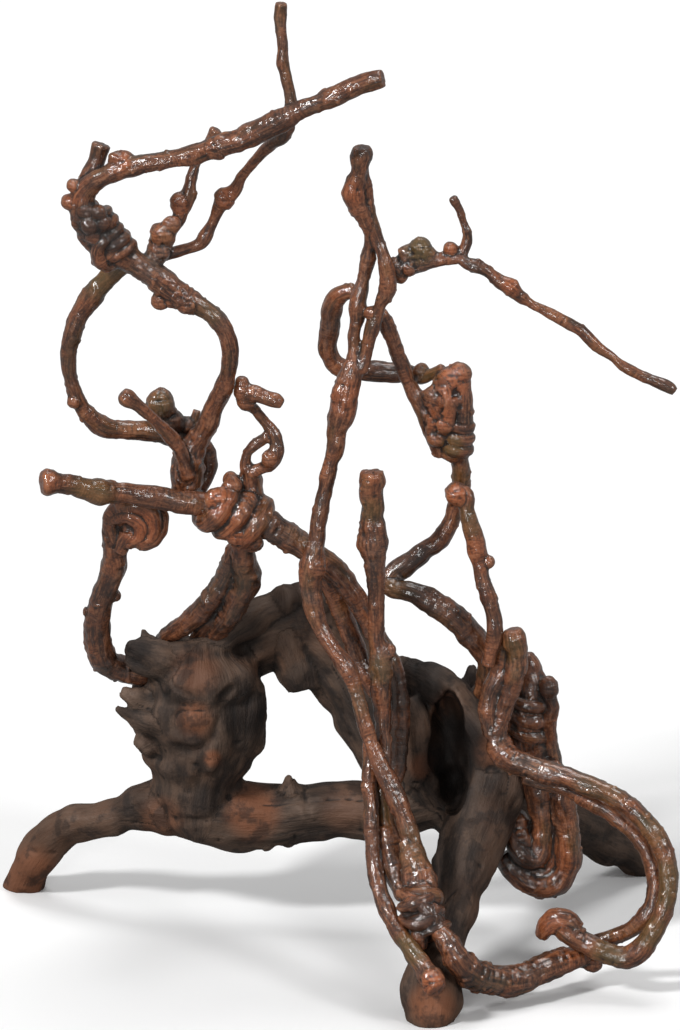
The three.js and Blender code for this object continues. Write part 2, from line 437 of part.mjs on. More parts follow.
function coilStrand() {
  return [
    limb([[262, 327, 6, 4.6], [264.5, 334, 5, 6.8], [265, 344, 4, 8.6], [264, 354, 3, 9],
      [263.5, 364, 3, 9.6], [265, 374, 2, 9.6], [268, 384, 1, 8.6], [270, 394, 1, 7], [271, 404, 1, 6],
      [271.5, 414, 1, 5.5], [271, 424, 0.5, 5.6], [268, 430, -1, 5.6], [262, 429, -3, 5.4],
      [257, 423, -3, 4.6]], { seed: 131 }),
    limb([[275, 382, 0, 6], [280, 392, -1, 5.6], [282, 402, -1, 6], [283.5, 412, -1, 6.2],
      [284.5, 424, -1, 6.5], [284, 433, 0, 7], [279, 441, 0, 7.5], [271.5, 443.5, 1, 7],
      [263.5, 440.5, 2, 6.8], [256.5, 434.5, 3, 6], [251, 428, 4, 5]], { seed: 132 }),
    limb(winding([264.5, 345, 3], [264.5, 372, 2.5], { turns: 3.5, reach: 7.4, radius: 3.4 }),
      { step: WRAP_STEP, sides: WRAP_SIDES, seed: 133 }),
    limb([[276, 376, 0, 3.4], [275, 362, -2, 3.4], [276.5, 353, -3, 3.2], [275, 347, -3, 3.2],
      [275.5, 341, -3, 3.8]], { seed: 134 }),
  ];
}

function footStrand() {
  return [
    limb([[184.5, 386, -43, 3.2], [184.5, 393, -46, 4], [185.5, 400, -49, 4], [185.5, 410, -53, 4],
      [186, 420, -57, 4], [187, 432, -62, 4], [189, 442, -68, 4], [192, 451, -75, 4], [195.5, 459, -83, 4],
      [200, 467, -91, 4.2], [206, 475.5, -100, 4.4], [211, 482.5, -106, 4.8], [216, 490.5, -112, 6],
      [218.5, 495, -116, 5.2]], { seed: 141 }),
    lump(216, 489.5, -112, 6.6),
  ];
}

// Assembly

const DRIFTWOOD = { color: 0x3d312b, roughness: 0.85, metalness: 0 };
const LACQUERED_ROOT = { color: 0x6a3d27, roughness: 0.35, metalness: 0 };

const PIECES = [
  ["stump", stumpWood, DRIFTWOOD],
  ["arch_strand", archStrand, LACQUERED_ROOT],
  ["tall_strand", tallStrand, LACQUERED_ROOT],
  ["upright_stick", uprightStick, LACQUERED_ROOT],
  ["club_strand", clubStrand, LACQUERED_ROOT],
  ["noose_strand", nooseStrand, LACQUERED_ROOT],
  ["crown_strand", crownStrand, LACQUERED_ROOT],
  ["ring_strand", ringStrand, LACQUERED_ROOT],
  ["left_riser", leftRiser, LACQUERED_ROOT],
  ["knotted_root", knottedRoot, LACQUERED_ROOT],
  ["right_riser", rightRiser, LACQUERED_ROOT],
  ["reaching_twig", reachingTwig, LACQUERED_ROOT],
  ["front_loop", frontLoop, LACQUERED_ROOT],
  ["coil_strand", coilStrand, LACQUERED_ROOT],
  ["foot_strand", footStrand, LACQUERED_ROOT],
];

const join = (shapes, grow) => shapes.map((shape) => shape(grow)).reduce((all, one) => all.add(one));

// The space under the floor, which trims the feet flat
function belowFloor() {
  const box = new THREE.BoxGeometry(FLOOR_SIZE, FLOOR_SIZE, FLOOR_SIZE);
  box.translate(0, 0, -FLOOR_SIZE / 2);
  return solidOf(box);
}

const largestBody = (solid) =>
  solid.decompose().reduce((best, body) => (body.volume() > best.volume() ? body : best));

function meshOf(name, solid, finish) {
  const mesh = solid.getMesh();
  const geometry = new THREE.BufferGeometry();
  geometry.setAttribute("position", new THREE.BufferAttribute(mesh.vertProperties, 3));
  geometry.setIndex(new THREE.BufferAttribute(mesh.triVerts, 1));
  geometry.computeVertexNormals();
  const made = new THREE.Mesh(geometry, new THREE.MeshStandardMaterial(finish));
  made.name = name;
  return made;
}

const root = new THREE.Group();
root.name = "spiderwood_root";
const floor = belowFloor();
const standing = [];
for (const [name, build, finish] of PIECES) {
  const shapes = build();
  const hollows = name === "stump" ? stumpHollows() : [];
  const whole = (grow) => hollows.reduce((rest, hollow) => rest.subtract(hollow(-grow)), join(shapes, grow));
  const solid = [floor, ...standing].reduce((rest, cut) => rest.subtract(cut), whole(0));
  root.add(meshOf(name, largestBody(solid), finish));
  standing.push(whole(TOUCH_GAP));
}

export default root;
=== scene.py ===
# %% [markdown]
# # A spiderwood root
#
# The real object is one piece of driftwood with two finishes: a thick, matt stump on three legs, and thin,
# glossy roots that climb out of it, wind round each other and end in twigs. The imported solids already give
# every root its route and its thickness. This lesson grows the same routes again with a fine surface: bark
# grain, wrinkles, warts, knots and cut ends, then colours them by what happens along each root.

# %% Load the fixed frame
import math

import bpy
import numpy as np
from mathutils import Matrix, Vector


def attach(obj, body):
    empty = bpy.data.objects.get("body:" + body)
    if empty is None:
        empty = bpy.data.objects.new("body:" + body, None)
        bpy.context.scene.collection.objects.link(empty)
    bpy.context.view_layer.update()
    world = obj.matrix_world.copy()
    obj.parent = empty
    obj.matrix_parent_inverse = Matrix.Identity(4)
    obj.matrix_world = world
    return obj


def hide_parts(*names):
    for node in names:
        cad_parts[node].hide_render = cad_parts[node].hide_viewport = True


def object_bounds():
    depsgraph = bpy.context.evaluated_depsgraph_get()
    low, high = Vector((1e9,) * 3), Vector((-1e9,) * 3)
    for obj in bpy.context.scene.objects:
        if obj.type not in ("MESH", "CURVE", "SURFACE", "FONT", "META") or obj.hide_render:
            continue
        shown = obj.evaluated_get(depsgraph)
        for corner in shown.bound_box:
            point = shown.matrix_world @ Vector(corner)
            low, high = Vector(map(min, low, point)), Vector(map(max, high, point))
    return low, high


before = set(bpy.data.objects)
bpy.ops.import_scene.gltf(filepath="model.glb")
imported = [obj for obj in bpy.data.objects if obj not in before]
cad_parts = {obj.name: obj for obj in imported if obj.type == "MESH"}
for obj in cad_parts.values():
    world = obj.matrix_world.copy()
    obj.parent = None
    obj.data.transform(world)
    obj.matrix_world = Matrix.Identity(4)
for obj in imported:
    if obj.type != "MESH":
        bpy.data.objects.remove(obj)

cad_low, cad_high = [list(corner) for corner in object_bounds()]
print("solids", len(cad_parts), "box", cad_low, cad_high)

# %% [markdown]
# ## Measuring on a front sheet
#
# Every route is read off a front sheet, a drawing that looks down on the root by 20 degrees. A station is
# written as right, down, back and radius in millimetres. One helper turns it into metres in the shared
# frame, so a root is drawn once and fits from every side.

# %% Places on the sheet
MM = 0.001
TILT = math.radians(20.0)
SHEET_MIDDLE = 169.3
SHEET_FLOOR = 476.5
MIDDLE_BACK = 4.3


def place(right, down, back):
    height = (SHEET_FLOOR - down - back * math.sin(TILT)) / math.cos(TILT)
    return np.array([right - SHEET_MIDDLE, back - MIDDLE_BACK, height])


def sheet_of(points):
    right = points[:, 0] + SHEET_MIDDLE
    down = SHEET_FLOOR - points[:, 2] * math.cos(TILT) - (points[:, 1] + MIDDLE_BACK) * math.sin(TILT)
    return right, down


print("the sheet's floor line is at height", place(170, SHEET_FLOOR, 0)[2], "mm")

# %% [markdown]
# ## What a root is made of
#
# A limb is a tube whose radius changes from station to station. A lump is a ball, for burls and nodules. A
# winding is the route of a strand that is wound round a line, as in the knots. Writing them as small
# records keeps the modelling apart from the measuring.

# %% Limbs, lumps and windings
TURN_STATIONS = 10
STEEP = 0.8


def limb(stations, seed=1):
    return {"stations": np.array(stations, float), "seed": seed}


def lump(right, down, back, radius, stretch=(1, 1, 1)):
    return {"ball": (right, down, back, radius), "stretch": stretch, "seed": 1}


def lumps(*rows):
    return [lump(*row) for row in rows]


def winding(start, end, turns, reach, radius, begin=0):
    first, last = place(*start), place(*end)
    axis = (last - first) / np.linalg.norm(last - first)
    up = np.array([0, 0, 1.0]) if abs(axis[2]) < STEEP else np.array([0, 1.0, 0])
    across = np.cross(axis, up)
    across /= np.linalg.norm(across)
    over = np.cross(across, axis)
    count = round(turns * TURN_STATIONS)
    stations = []
    for i in range(count + 1):
        angle = math.radians(begin) + i / TURN_STATIONS * 2 * math.pi
        spot = first + (last - first) * i / count
        spot = spot + reach * (math.cos(angle) * across + math.sin(angle) * over)
        right, down = sheet_of(spot[None])
        stations.append([right[0], down[0], spot[1] + MIDDLE_BACK, radius])
    return stations


print("a three-turn winding has", len(winding((0, 0, 0), (30, 0, 0), 3, 8, 4)), "stations")

# %% [markdown]
# ## A smooth line through the stations
#
# The curve through the stations is a centripetal Catmull-Rom spline, which passes through every station
# without looping where two stand close. A spine is that curve sampled every half millimetre, with a frame
# that is carried along it without twisting, so that grain painted later doesn't spin round the root.

# %% Spines
SPINE_STEP = 0.5
SMALLEST_KNOT = 1e-4
FIRST_SIDE = [0.3, -1.0, 0.2]
# A lump has no ends. This length marks it, so that it is never given a cut face.
LUMP_LENGTH = 40.0


def spline_piece(p, count):
    knots = [max(np.linalg.norm(p[i + 1] - p[i]) ** 0.5, SMALLEST_KNOT) for i in range(3)]
    a, b, c = knots
    left = ((p[1] - p[0]) / a - (p[2] - p[0]) / (a + b) + (p[2] - p[1]) / b) * b
    right = ((p[2] - p[1]) / b - (p[3] - p[1]) / (b + c) + (p[3] - p[2]) / c) * b
    t = np.linspace(0, 1, count, endpoint=False)[:, None]
    line = (2 * t**3 - 3 * t**2 + 1) * p[1] + (t**3 - 2 * t**2 + t) * left
    return line + (-2 * t**3 + 3 * t**2) * p[2] + (t**3 - t**2) * right


def spine_of(part):
    stations = part["stations"]
    spots = np.array([place(*s[:3]) for s in stations])
    spots = np.vstack([2 * spots[0] - spots[1], spots, 2 * spots[-1] - spots[-2]])
    points, radii = [], []
    for i in range(len(stations) - 1):
        gap = np.linalg.norm(spots[i + 2] - spots[i + 1])
        count = max(2, round(gap / SPINE_STEP))
        points.append(spline_piece(spots[i:i + 4], count))
        t = np.linspace(0, 1, count, endpoint=False)
        ease = t * t * (3 - 2 * t)
        radii.append(stations[i, 3] + (stations[i + 1, 3] - stations[i, 3]) * ease)
    points.append(spots[-2][None])
    radii.append(stations[-1:, 3])
    points, radii = np.vstack(points), np.concatenate(radii)
    tangent = np.gradient(points, axis=0)
    tangent /= np.linalg.norm(tangent, axis=1)[:, None]
    side = np.zeros_like(points)
    aim = np.cross(tangent[0], FIRST_SIDE)
    for i, along in enumerate(tangent):
        aim = aim - along * aim.dot(along)
        aim = aim / np.linalg.norm(aim)
        side[i] = aim
    length = np.concatenate([[0], np.cumsum(np.linalg.norm(np.diff(points, axis=0), axis=1))])
    return {"points": points, "radii": radii, "tangent": tangent, "side": side, "length": length}


def spine_of_ball(part):
    right, down, back, radius = part["ball"]
    radius = radius * float(np.mean(part["stretch"]))
    return {
        "points": place(right, down, back)[None],
        "radii": np.array([radius]),
        "tangent": np.array([[0, 0, 1.0]]),
        "side": np.array([[1.0, 0, 0]]),
        "length": np.array([LUMP_LENGTH]),
    }


print("spines are sampled every", SPINE_STEP, "mm")

# %% [markdown]
# ## Modelling a limb as by hand
#
# By hand one would draw a path, give it a round bevel and set the radius of each point. The operators do
# the same here: a path is added, its points are moved onto the spine, and the convert operator turns it
# into a mesh with closed ends. A lump starts as an ico sphere that is scaled.

# %% Path and ball operators
PATH_STEP = 2.0
ROUND_SIDES = 5
BALL_SUBDIVISIONS = 4


def only(*objects):
    bpy.ops.object.select_all(action="DESELECT")
    for piece in objects:
        piece.select_set(True)
    bpy.context.view_layer.objects.active = objects[0]


def draw_limb(spine, grow):
    bpy.ops.object.select_all(action="DESELECT")
    bpy.ops.curve.primitive_nurbs_path_add(location=(0, 0, 0))
    path = bpy.context.object
    path.data.splines.clear()
    last = len(spine["points"]) - 1
    keep = [*range(0, last, round(PATH_STEP / SPINE_STEP)), last]
    line = path.data.splines.new("POLY")
    line.points.add(len(keep) - 1)
    spots = spine["points"][keep] * MM
    line.points.foreach_set("co", np.column_stack([spots, np.ones(len(keep))]).ravel())
    line.points.foreach_set("radius", (spine["radii"][keep] + grow) * MM)
    path.data.bevel_depth = 1.0
    path.data.bevel_resolution = ROUND_SIDES
    path.data.use_fill_caps = True
    bpy.ops.object.convert(target="MESH")
    return bpy.context.object


def draw_ball(part, spine, grow):
    radius = part["ball"][3]
    bpy.ops.object.select_all(action="DESELECT")
    spot = spine["points"][0] * MM
    bpy.ops.mesh.primitive_ico_sphere_add(subdivisions=BALL_SUBDIVISIONS, radius=1.0, location=spot)
    ball = bpy.context.object
    ball.scale = [(radius * share + grow) * MM for share in part["stretch"]]
    bpy.ops.object.transform_apply(location=True, rotation=True, scale=True)
    return ball


def draw(parts, name, grow=0.0):
    drawn, spines = [], []
    for part in parts:
        if "ball" in part:
            spine = spine_of_ball(part)
            drawn.append(draw_ball(part, spine, grow))
        else:
            spine = spine_of(part)
            drawn.append(draw_limb(spine, grow))
        spines.append(spine)
    only(*drawn)
    bpy.ops.object.join()
    whole = bpy.context.object
    whole.name = whole.data.name = name
    return whole, spines


def apply(piece, kind, **settings):
    only(piece)
    modifier = piece.modifiers.new(kind.title(), kind)
    for key, value in settings.items():
        setattr(modifier, key, value)
    bpy.ops.object.modifier_apply(modifier=modifier.name)


print("a limb has", 4 + 2 * ROUND_SIDES, "sides before it is remeshed")

# %% [markdown]
# ## Noise that follows the grain
#
# Wood grain isn't the same in all directions: it runs along the root. So the relief is worked out in
# straightened coordinates, distance along the root and place round it, and stretched lengthwise. The noise
# itself is value noise: random numbers on a lattice, eased from one to the next, and always from a seed.

# %% Value noise
PRIMES = (73856093, 19349663, 83492791)
SEED_PRIME, SEED_START = 40503, 12345
STIRS = (1274126177, 2246822519)


def lattice(x, y, z, seed):
    h = (x * PRIMES[0]) ^ (y * PRIMES[1]) ^ (z * PRIMES[2]) ^ (seed * SEED_PRIME + SEED_START)
    h = (h ^ (h >> 13)) * STIRS[0] & 0xFFFFFFFF
    h = (h ^ (h >> 15)) * STIRS[1] & 0xFFFFFFFF
    return ((h ^ (h >> 16)) & 0xFFFF) / 32767.5 - 1.0


def noise(points, size, seed=0):
    q = points / np.asarray(size, float)
    cell = np.floor(q).astype(np.int64)
    f = q - cell
    f = f * f * (3 - 2 * f)
    total = np.zeros(len(q))
    for corner in range(8):
        step = np.array([corner & 1, corner >> 1 & 1, corner >> 2 & 1])
        weight = np.prod(np.where(step, f, 1 - f), axis=1)
        total += weight * lattice(*(cell + step).T, seed)
    return total


def rise(value, low, high):
    t = np.clip((value - low) / (high - low), 0, 1)
    return t * t * (3 - 2 * t)


print("noise sample", noise(np.array([[1.2, 3.4, 5.6]]), 2.0)[0])

# %% [markdown]
# ## Which limb a point belongs to
#
# After the limbs are joined and remeshed, each point of the surface looks for the limb that it grew from:
# the one whose tube it lies nearest to. That gives it a distance along the grain and an angle round it, and
# tells how thick its limb is there and where that limb ends.

# %% Straighten the surface
CHUNK = 4000


def straighten(points, parts, spines):
    centre = np.vstack([s["points"] for s in spines])
    radii = np.concatenate([s["radii"] for s in spines])
    tangent = np.vstack([s["tangent"] for s in spines])
    side = np.vstack([s["side"] for s in spines])
    length = np.concatenate([s["length"] for s in spines])
    owner = np.concatenate([np.full(len(s["radii"]), i) for i, s in enumerate(spines)])
    near = np.zeros(len(points), int)
    square = (centre**2).sum(1)
    for a in range(0, len(points), CHUNK):
        p = points[a:a + CHUNK]
        far = np.sqrt(np.maximum((p**2).sum(1)[:, None] + square - 2 * p @ centre.T, 0)) - radii
        near[a:a + CHUNK] = far.argmin(1)
    offset = points - centre[near]
    over = np.cross(tangent[near], side[near])
    return {
        "along": length[near] + (offset * tangent[near]).sum(1),
        "angle": np.arctan2((offset * over).sum(1), (offset * side[near]).sum(1)),
        "radius": radii[near],
        "seed": np.array([part["seed"] for part in parts])[owner[near]],
        "ends": np.array([s["length"][-1] for s in spines])[owner[near]],
    }


print("points are looked up", CHUNK, "at a time")

# %% [markdown]
# ## Relief of the bark
#
# The glossy roots have five kinds of relief: slow swellings, furrows that run lengthwise, wrinkles that run
# round the root in patches, small warts, and fine fibres. Each is a layer of noise in millimetres, and their
# sum moves every point of the surface along its normal. The stump has broad bulges, deeper furrows, ridges,
# cracks and pits, and no warts.

# %% Layers of relief
SEED_SHIFT = 53.0
# Shares of a root's radius
SWELL, KNUCKLE = 0.15, 0.09
# Millimetres on a root of the usual radius
FURROW, WRINKLE, WART, FIBRE = 0.16, 0.4, 0.7, 0.18
USUAL_RADIUS, THINNEST, THICKEST = 5.0, 0.45, 1.4
# Millimetres on the stump
BULGE, SMALL_BULGE = 2.1, 0.9
DEEP_FURROW, RIDGE, CRACK, PIT = 0.35, 0.22, 0.9, 0.8


def grain_of(s):
    shift = s["along"] + SEED_SHIFT * s["seed"]
    return np.column_stack([shift, s["radius"] * np.cos(s["angle"]), s["radius"] * np.sin(s["angle"])])


def root_relief(points, s):
    grain = grain_of(s)
    thick = np.clip(s["radius"] / USUAL_RADIUS, THINNEST, THICKEST)
    swell = s["radius"] * (SWELL * noise(grain, (8, 12, 12), 1) + KNUCKLE * noise(points, 4.4, 2))
    furrow = 1 - 2.2 * np.abs(noise(grain, (24, 3.4, 3.4), 3))
    patch = rise(noise(grain, (19, 9, 9), 4), -0.2, 0.5)
    wrinkle = noise(grain, (1.7, 8, 8), 5)
    wart = rise(noise(points, 3.3, 6), 0.45, 0.8) * rise(noise(points, 14, 7), -0.2, 0.4)
    fibre = noise(grain, (2.6, 1.7, 1.7), 8)
    return swell + thick * (FURROW * furrow + WRINKLE * patch * wrinkle + WART * wart + FIBRE * fibre)


def stump_relief(points, s):
    grain = grain_of(s)
    bulge = BULGE * noise(points, 17, 11) + SMALL_BULGE * noise(points, 8, 12)
    furrow = 1 - 2 * np.abs(noise(grain, (48, 8, 8), 13))
    ridge = noise(grain, (22, 3.2, 3.2), 14)
    crack = rise(np.abs(noise(grain, (40, 11, 11), 15)), 0.0, 0.07) - 1
    crack = crack * rise(noise(points, 26, 17), 0.0, 0.4)
    pit = rise(noise(points, 5.5, 16), 0.55, 0.9)
    return bulge + (DEEP_FURROW * furrow + RIDGE * ridge + CRACK * crack - PIT * pit)


print("relief layers are ready")

# %% [markdown]
# ## From joined limbs to one skin
#
# A voxel remesh melts the overlapping limbs into one closed skin with even faces, as clay strands are
# pressed together by hand. A few rounds of smoothing take off the stair steps. Then the relief goes on, and
# what the skin knows about itself is stored as attributes for the materials: the grain direction, how deep
# a point sits in a crevice, and whether it lies on a cut end.

# %% Mesh helpers
ROOT_VOXEL = 0.8
STUMP_VOXEL = 1.27
box_low, box_high = np.array(cad_low), np.array(cad_high)


def rows_of(source, name):
    values = np.empty(len(source) * 3)
    source.foreach_get(name, values)
    return values.reshape(-1, 3)


def edge_array(mesh):
    edges = np.empty(len(mesh.edges) * 2, np.int32)
    mesh.edges.foreach_get("vertices", edges)
    return edges.reshape(-1, 2)


def spread(values, edges, rounds):
    count = len(values)
    degree = np.bincount(edges.ravel(), minlength=count)
    for _ in range(rounds):
        total = np.bincount(edges[:, 0], values[edges[:, 1]], count)
        total += np.bincount(edges[:, 1], values[edges[:, 0]], count)
        values = 0.5 * values + 0.5 * total / np.maximum(degree, 1)
    return values


def hollowness(mesh, edges, rounds):
    spots, normals = rows_of(mesh.vertices, "co"), rows_of(mesh.vertex_normals, "vector")
    smooth = np.column_stack([spread(spots[:, i], edges, rounds) for i in range(3)])
    return ((smooth - spots) * normals).sum(1) / MM


def edit_all(piece, operator, **settings):
    only(piece)
    bpy.ops.object.mode_set(mode="EDIT")
    bpy.ops.mesh.select_all(action="SELECT")
    operator(**settings)
    bpy.ops.object.mode_set(mode="OBJECT")


def keep_largest(piece):
    edit_all(piece, bpy.ops.mesh.separate, type="LOOSE")
    loose = sorted(bpy.context.selected_objects, key=lambda part: len(part.data.vertices))
    for crumb in loose[:-1]:
        bpy.data.objects.remove(crumb)
    only(loose[-1])
    return loose[-1]


def cut_at_floor(piece):
    floor_plane = {"plane_co": (0, 0, 0), "plane_no": (0, 0, 1)}
    edit_all(piece, bpy.ops.mesh.bisect, clear_inner=True, use_fill=True, **floor_plane)


print("the finished skin stays within", box_low.round(3), box_high.round(3))

# %% [markdown]
# ## What the materials need to know
#
# Some marks depend on the place: an olive patch, a rubbed burl, a sooty fold. Each is a round spot on the
# sheet with its own reach and strength, and it is stored on the points of the skin as a number.

# %% Stored marks
SPOT_CORE = 0.4


def store(piece, name, values):
    kind, key = ("FLOAT_VECTOR", "vector") if np.ndim(values) == 2 else ("FLOAT", "value")
    layer = piece.data.attributes.new(name, kind, "POINT")
    layer.data.foreach_set(key, np.asarray(values, np.float32).ravel())


def spots_mask(points, spots):
    right, down = sheet_of(points)
    mask = np.zeros(len(points))
    for x, y, reach, strength in spots:
        fade = rise(np.hypot(right - x, down - y), SPOT_CORE * reach, reach)
        mask = np.maximum(mask, strength * (1 - fade))
    return mask


print("a spot is at full strength out to", SPOT_CORE, "of its reach")

# %% [markdown]
# ## Growing one skin
#
# Now the steps are put in order: draw, melt, cut the hollows, smooth, raise the relief, trim at the box and
# the floor, and store the marks. Each root is swollen by a little more than half of the gap of 0.3 mm that
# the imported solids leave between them, so that roots that touch on the real object touch here too.

# %% Skin a root
SMOOTHING = 9
ROOT_SWELL = 0.16
ON_FLOOR = 1e-6
# Rounds of smoothing that find narrow and broad hollows, and what each counts for
HOLLOW_ROUNDS = ((3, 0.3), (14, 0.8))
FULL_CREVICE = 0.5
CUT_EDGE = (-0.7, 0.1)


def melt(piece, voxel):
    apply(piece, "REMESH", mode="VOXEL", voxel_size=voxel * MM)


def skin(name, parts, tints, hollows=(), voxel=ROOT_VOXEL, relief=root_relief):
    piece, spines = draw(parts, name, ROOT_SWELL)
    melt(piece, voxel)
    if hollows:
        cutter, _ = draw(hollows, name + "_cutter")
        melt(cutter, voxel)
        apply(piece, "BOOLEAN", operation="DIFFERENCE", object=cutter, solver="EXACT")
        bpy.data.objects.remove(cutter)
        melt(piece, voxel)
    piece = keep_largest(piece)
    apply(piece, "SMOOTH", factor=0.5, iterations=SMOOTHING)
    mesh = piece.data
    spots = rows_of(mesh.vertices, "co") / MM
    state = straighten(spots, parts, spines)
    spots = spots + rows_of(mesh.vertex_normals, "vector") * relief(spots, state)[:, None]
    spots = np.clip(spots * MM, box_low, box_high)
    mesh.vertices.foreach_set("co", spots.ravel())
    mesh.update()
    if spots[:, 2].min() < ON_FLOOR:
        cut_at_floor(piece)
        mesh = piece.data
        state = straighten(rows_of(mesh.vertices, "co") / MM, parts, spines)
    edges = edge_array(mesh)
    deep = sum(share * hollowness(mesh, edges, rounds) for rounds, share in HOLLOW_ROUNDS)
    deep = deep - np.median(deep)
    store(piece, "grain", grain_of(state))
    store(piece, "crevice", np.clip(deep / (FULL_CREVICE * voxel / ROOT_VOXEL), -1, 1))
    along, ends = state["along"], state["ends"]
    fresh = np.maximum(rise(-along, *CUT_EDGE), rise(along - ends, *CUT_EDGE))
    store(piece, "cut", fresh * (ends != LUMP_LENGTH))
    for tint in ("olive", "orange", "dark"):
        store(piece, tint, spots_mask(rows_of(mesh.vertices, "co") / MM, tints.get(tint, ())))
    mesh.shade_smooth()
    middle_half = np.round(np.percentile(deep, [25, 75]), 2)
    print(name, len(mesh.polygons), "faces, half of its points are", middle_half, "mm deep in creases")
    return piece


print("roots are remeshed at", ROOT_VOXEL, "mm and the stump at", STUMP_VOXEL, "mm")

# %% [markdown]
# ## Colours shared by both finishes
#
# Colours are written as a paint chart would give them, from 0 to 255, and turned into the linear values
# that a shader wants. Small helpers add nodes, so that a material reads like a recipe.

# %% Node helpers
def linear(red, green, blue):
    share = [value / 255 for value in (red, green, blue)]
    return tuple(v / 12.92 if v <= 0.04045 else ((v + 0.055) / 1.055) ** 2.4 for v in share) + (1.0,)


class Recipe:
    def __init__(self, tree):
        self.tree = tree

    def node(self, kind, **settings):
        made = self.tree.nodes.new(kind)
        for key, value in settings.items():
            setattr(made, key, value)
        return made

    def link(self, source, target):
        self.tree.links.new(source, target)

    def feed(self, socket, value):
        if isinstance(value, bpy.types.NodeSocket):
            self.link(value, socket)
        else:
            socket.default_value = value

    def attribute(self, name, output="Fac"):
        return self.node("ShaderNodeAttribute", attribute_name=name).outputs[output]

    def math(self, operation, a, b):
        made = self.node("ShaderNodeMath", operation=operation)
        self.feed(made.inputs[0], a)
        self.feed(made.inputs[1], b)
        return made.outputs[0]

    def times(self, a, b):
        return self.math("MULTIPLY", a, b)

    def step(self, value, low, high, to_low=0.0, to_high=1.0):
        made = self.node("ShaderNodeMapRange", interpolation_type="SMOOTHSTEP")
        for socket, number in zip(made.inputs[:5], (value, low, high, to_low, to_high)):
            self.feed(socket, number)
        return made.outputs[0]

    def blend(self, factor, a, b):
        made = self.node("ShaderNodeMix", data_type="RGBA")
        self.feed(made.inputs["Factor"], factor)
        self.feed(made.inputs[6], a)
        self.feed(made.inputs[7], b)
        return made.outputs[2]

    def stretched(self, vector, size):
        made = self.node("ShaderNodeVectorMath", operation="MULTIPLY")
        self.feed(made.inputs[0], vector)
        made.inputs[1].default_value = tuple(1.0 / s for s in size)
        return made.outputs[0]

    def noise(self, vector, size, detail=2.0, rough=0.5):
        made = self.node("ShaderNodeTexNoise", noise_dimensions="3D")
        self.feed(made.inputs["Vector"], self.stretched(vector, size))
        made.inputs["Scale"].default_value = 1.0
        made.inputs["Detail"].default_value = detail
        made.inputs["Roughness"].default_value = rough
        return made.outputs["Fac"]

    def paint(self, colour, coats):
        for mask, share, tone in coats:
            colour = self.blend(self.times(mask, share), colour, linear(*tone))
        return colour

    def bump(self, height, depth, strength=1.0):
        made = self.node("ShaderNodeBump")
        made.inputs["Strength"].default_value = strength
        made.inputs["Distance"].default_value = depth
        self.link(height, made.inputs["Height"])
        return made.outputs[0]


print("a mid root brown is", [round(v, 3) for v in linear(104, 70, 48)])

# %% [markdown]
# ## Node groups for bark
#
# Two effects are used by both finishes, so each is a node group with named inputs and outputs. Bark grain
# is fine height that runs along the root. The other group paints light into the colour: a mask of painted
# shade that darkens crevices and soft patches, and a mask of painted highlight on convex ridges.

# %% Bark grain and crease shading groups
def group(name, inputs, outputs):
    tree = bpy.data.node_groups.new(name, "ShaderNodeTree")
    for label, kind, value in inputs:
        socket = tree.interface.new_socket(label, in_out="INPUT", socket_type=kind)
        if value is not None:
            socket.default_value = value
    for label, kind in outputs:
        tree.interface.new_socket(label, in_out="OUTPUT", socket_type=kind)
    return tree, tree.nodes.new("NodeGroupInput"), tree.nodes.new("NodeGroupOutput")


def bark_height(r, grain, rings):
    streak = r.noise(grain, (9, 0.8, 0.8), 3.0, 0.6)
    ring = r.noise(grain, (0.7, 3.2, 3.2), 2.0, 0.5)
    speck = r.noise(grain, (1.1, 0.9, 0.9), 2.0, 0.6)
    return r.math("ADD", r.math("ADD", streak, r.times(ring, rings)), speck), streak


def bark_grain_group():
    tree, inlet, outlet = group(
        "bark_grain",
        [("Grain", "NodeSocketVector", None), ("Rings", "NodeSocketFloat", 1.0)],
        [("Height", "NodeSocketFloat"), ("Streak", "NodeSocketFloat")],
    )
    r = Recipe(tree)
    height, streak = bark_height(r, inlet.outputs["Grain"], inlet.outputs["Rings"])
    r.link(height, outlet.inputs["Height"])
    r.link(streak, outlet.inputs["Streak"])
    return tree


def crease_shading_group():
    tree, inlet, outlet = group(
        "crease_shading",
        [("Crevice", "NodeSocketFloat", 0.0), ("Place", "NodeSocketVector", None)],
        [("Crease_Shade", "NodeSocketFloat"), ("Ridge_Highlight", "NodeSocketFloat")],
    )
    r = Recipe(tree)
    soft = r.noise(inlet.outputs["Place"], (0.012, 0.012, 0.012), 3.0, 0.6)
    wander = r.math("ADD", inlet.outputs["Crevice"], r.times(r.math("SUBTRACT", soft, 0.5), 0.5))
    # painted shade: dark where the crevice depth is high, spread into soft patches by noise
    r.link(r.step(wander, 0.08, 0.8), outlet.inputs["Crease_Shade"])
    # painted highlight: lighter where the surface bulges out into ridges
    r.link(r.step(r.times(wander, -1.0), 0.1, 0.8), outlet.inputs["Ridge_Highlight"])
    return tree


bark_grain, crease_shading = bark_grain_group(), crease_shading_group()
print("node groups:", bark_grain.name, crease_shading.name)

# %% [markdown]
# ## The glossy finish of the thin roots
#
# The roots look varnished: red-brown wood with painted shade that turns the furrows near black, a painted
# highlight on convex ridges, warm orange where the bark is rubbed, and olive patches. The gloss comes from a
# clear coat over a slightly rough base. Its strength stays on the shader's own sockets, and only colour,
# roughness and bump are driven by nodes. The varnish has a bump of its own, with soft beads in it, and that
# one is built here and not taken from the group.

# %% Lacquered root material
LACQUER_RINGS = 0.5
BARK_DEPTH, VARNISH_DEPTH = 0.0003, 0.00014


def new_material(name):
    material = bpy.data.materials.new(name)
    material.use_nodes = True
    material.node_tree.nodes.clear()
    r = Recipe(material.node_tree)
    shader = r.node("ShaderNodeBsdfPrincipled")
    out = r.node("ShaderNodeOutputMaterial")
    r.link(shader.outputs[0], out.inputs[0])
    return material, r, shader
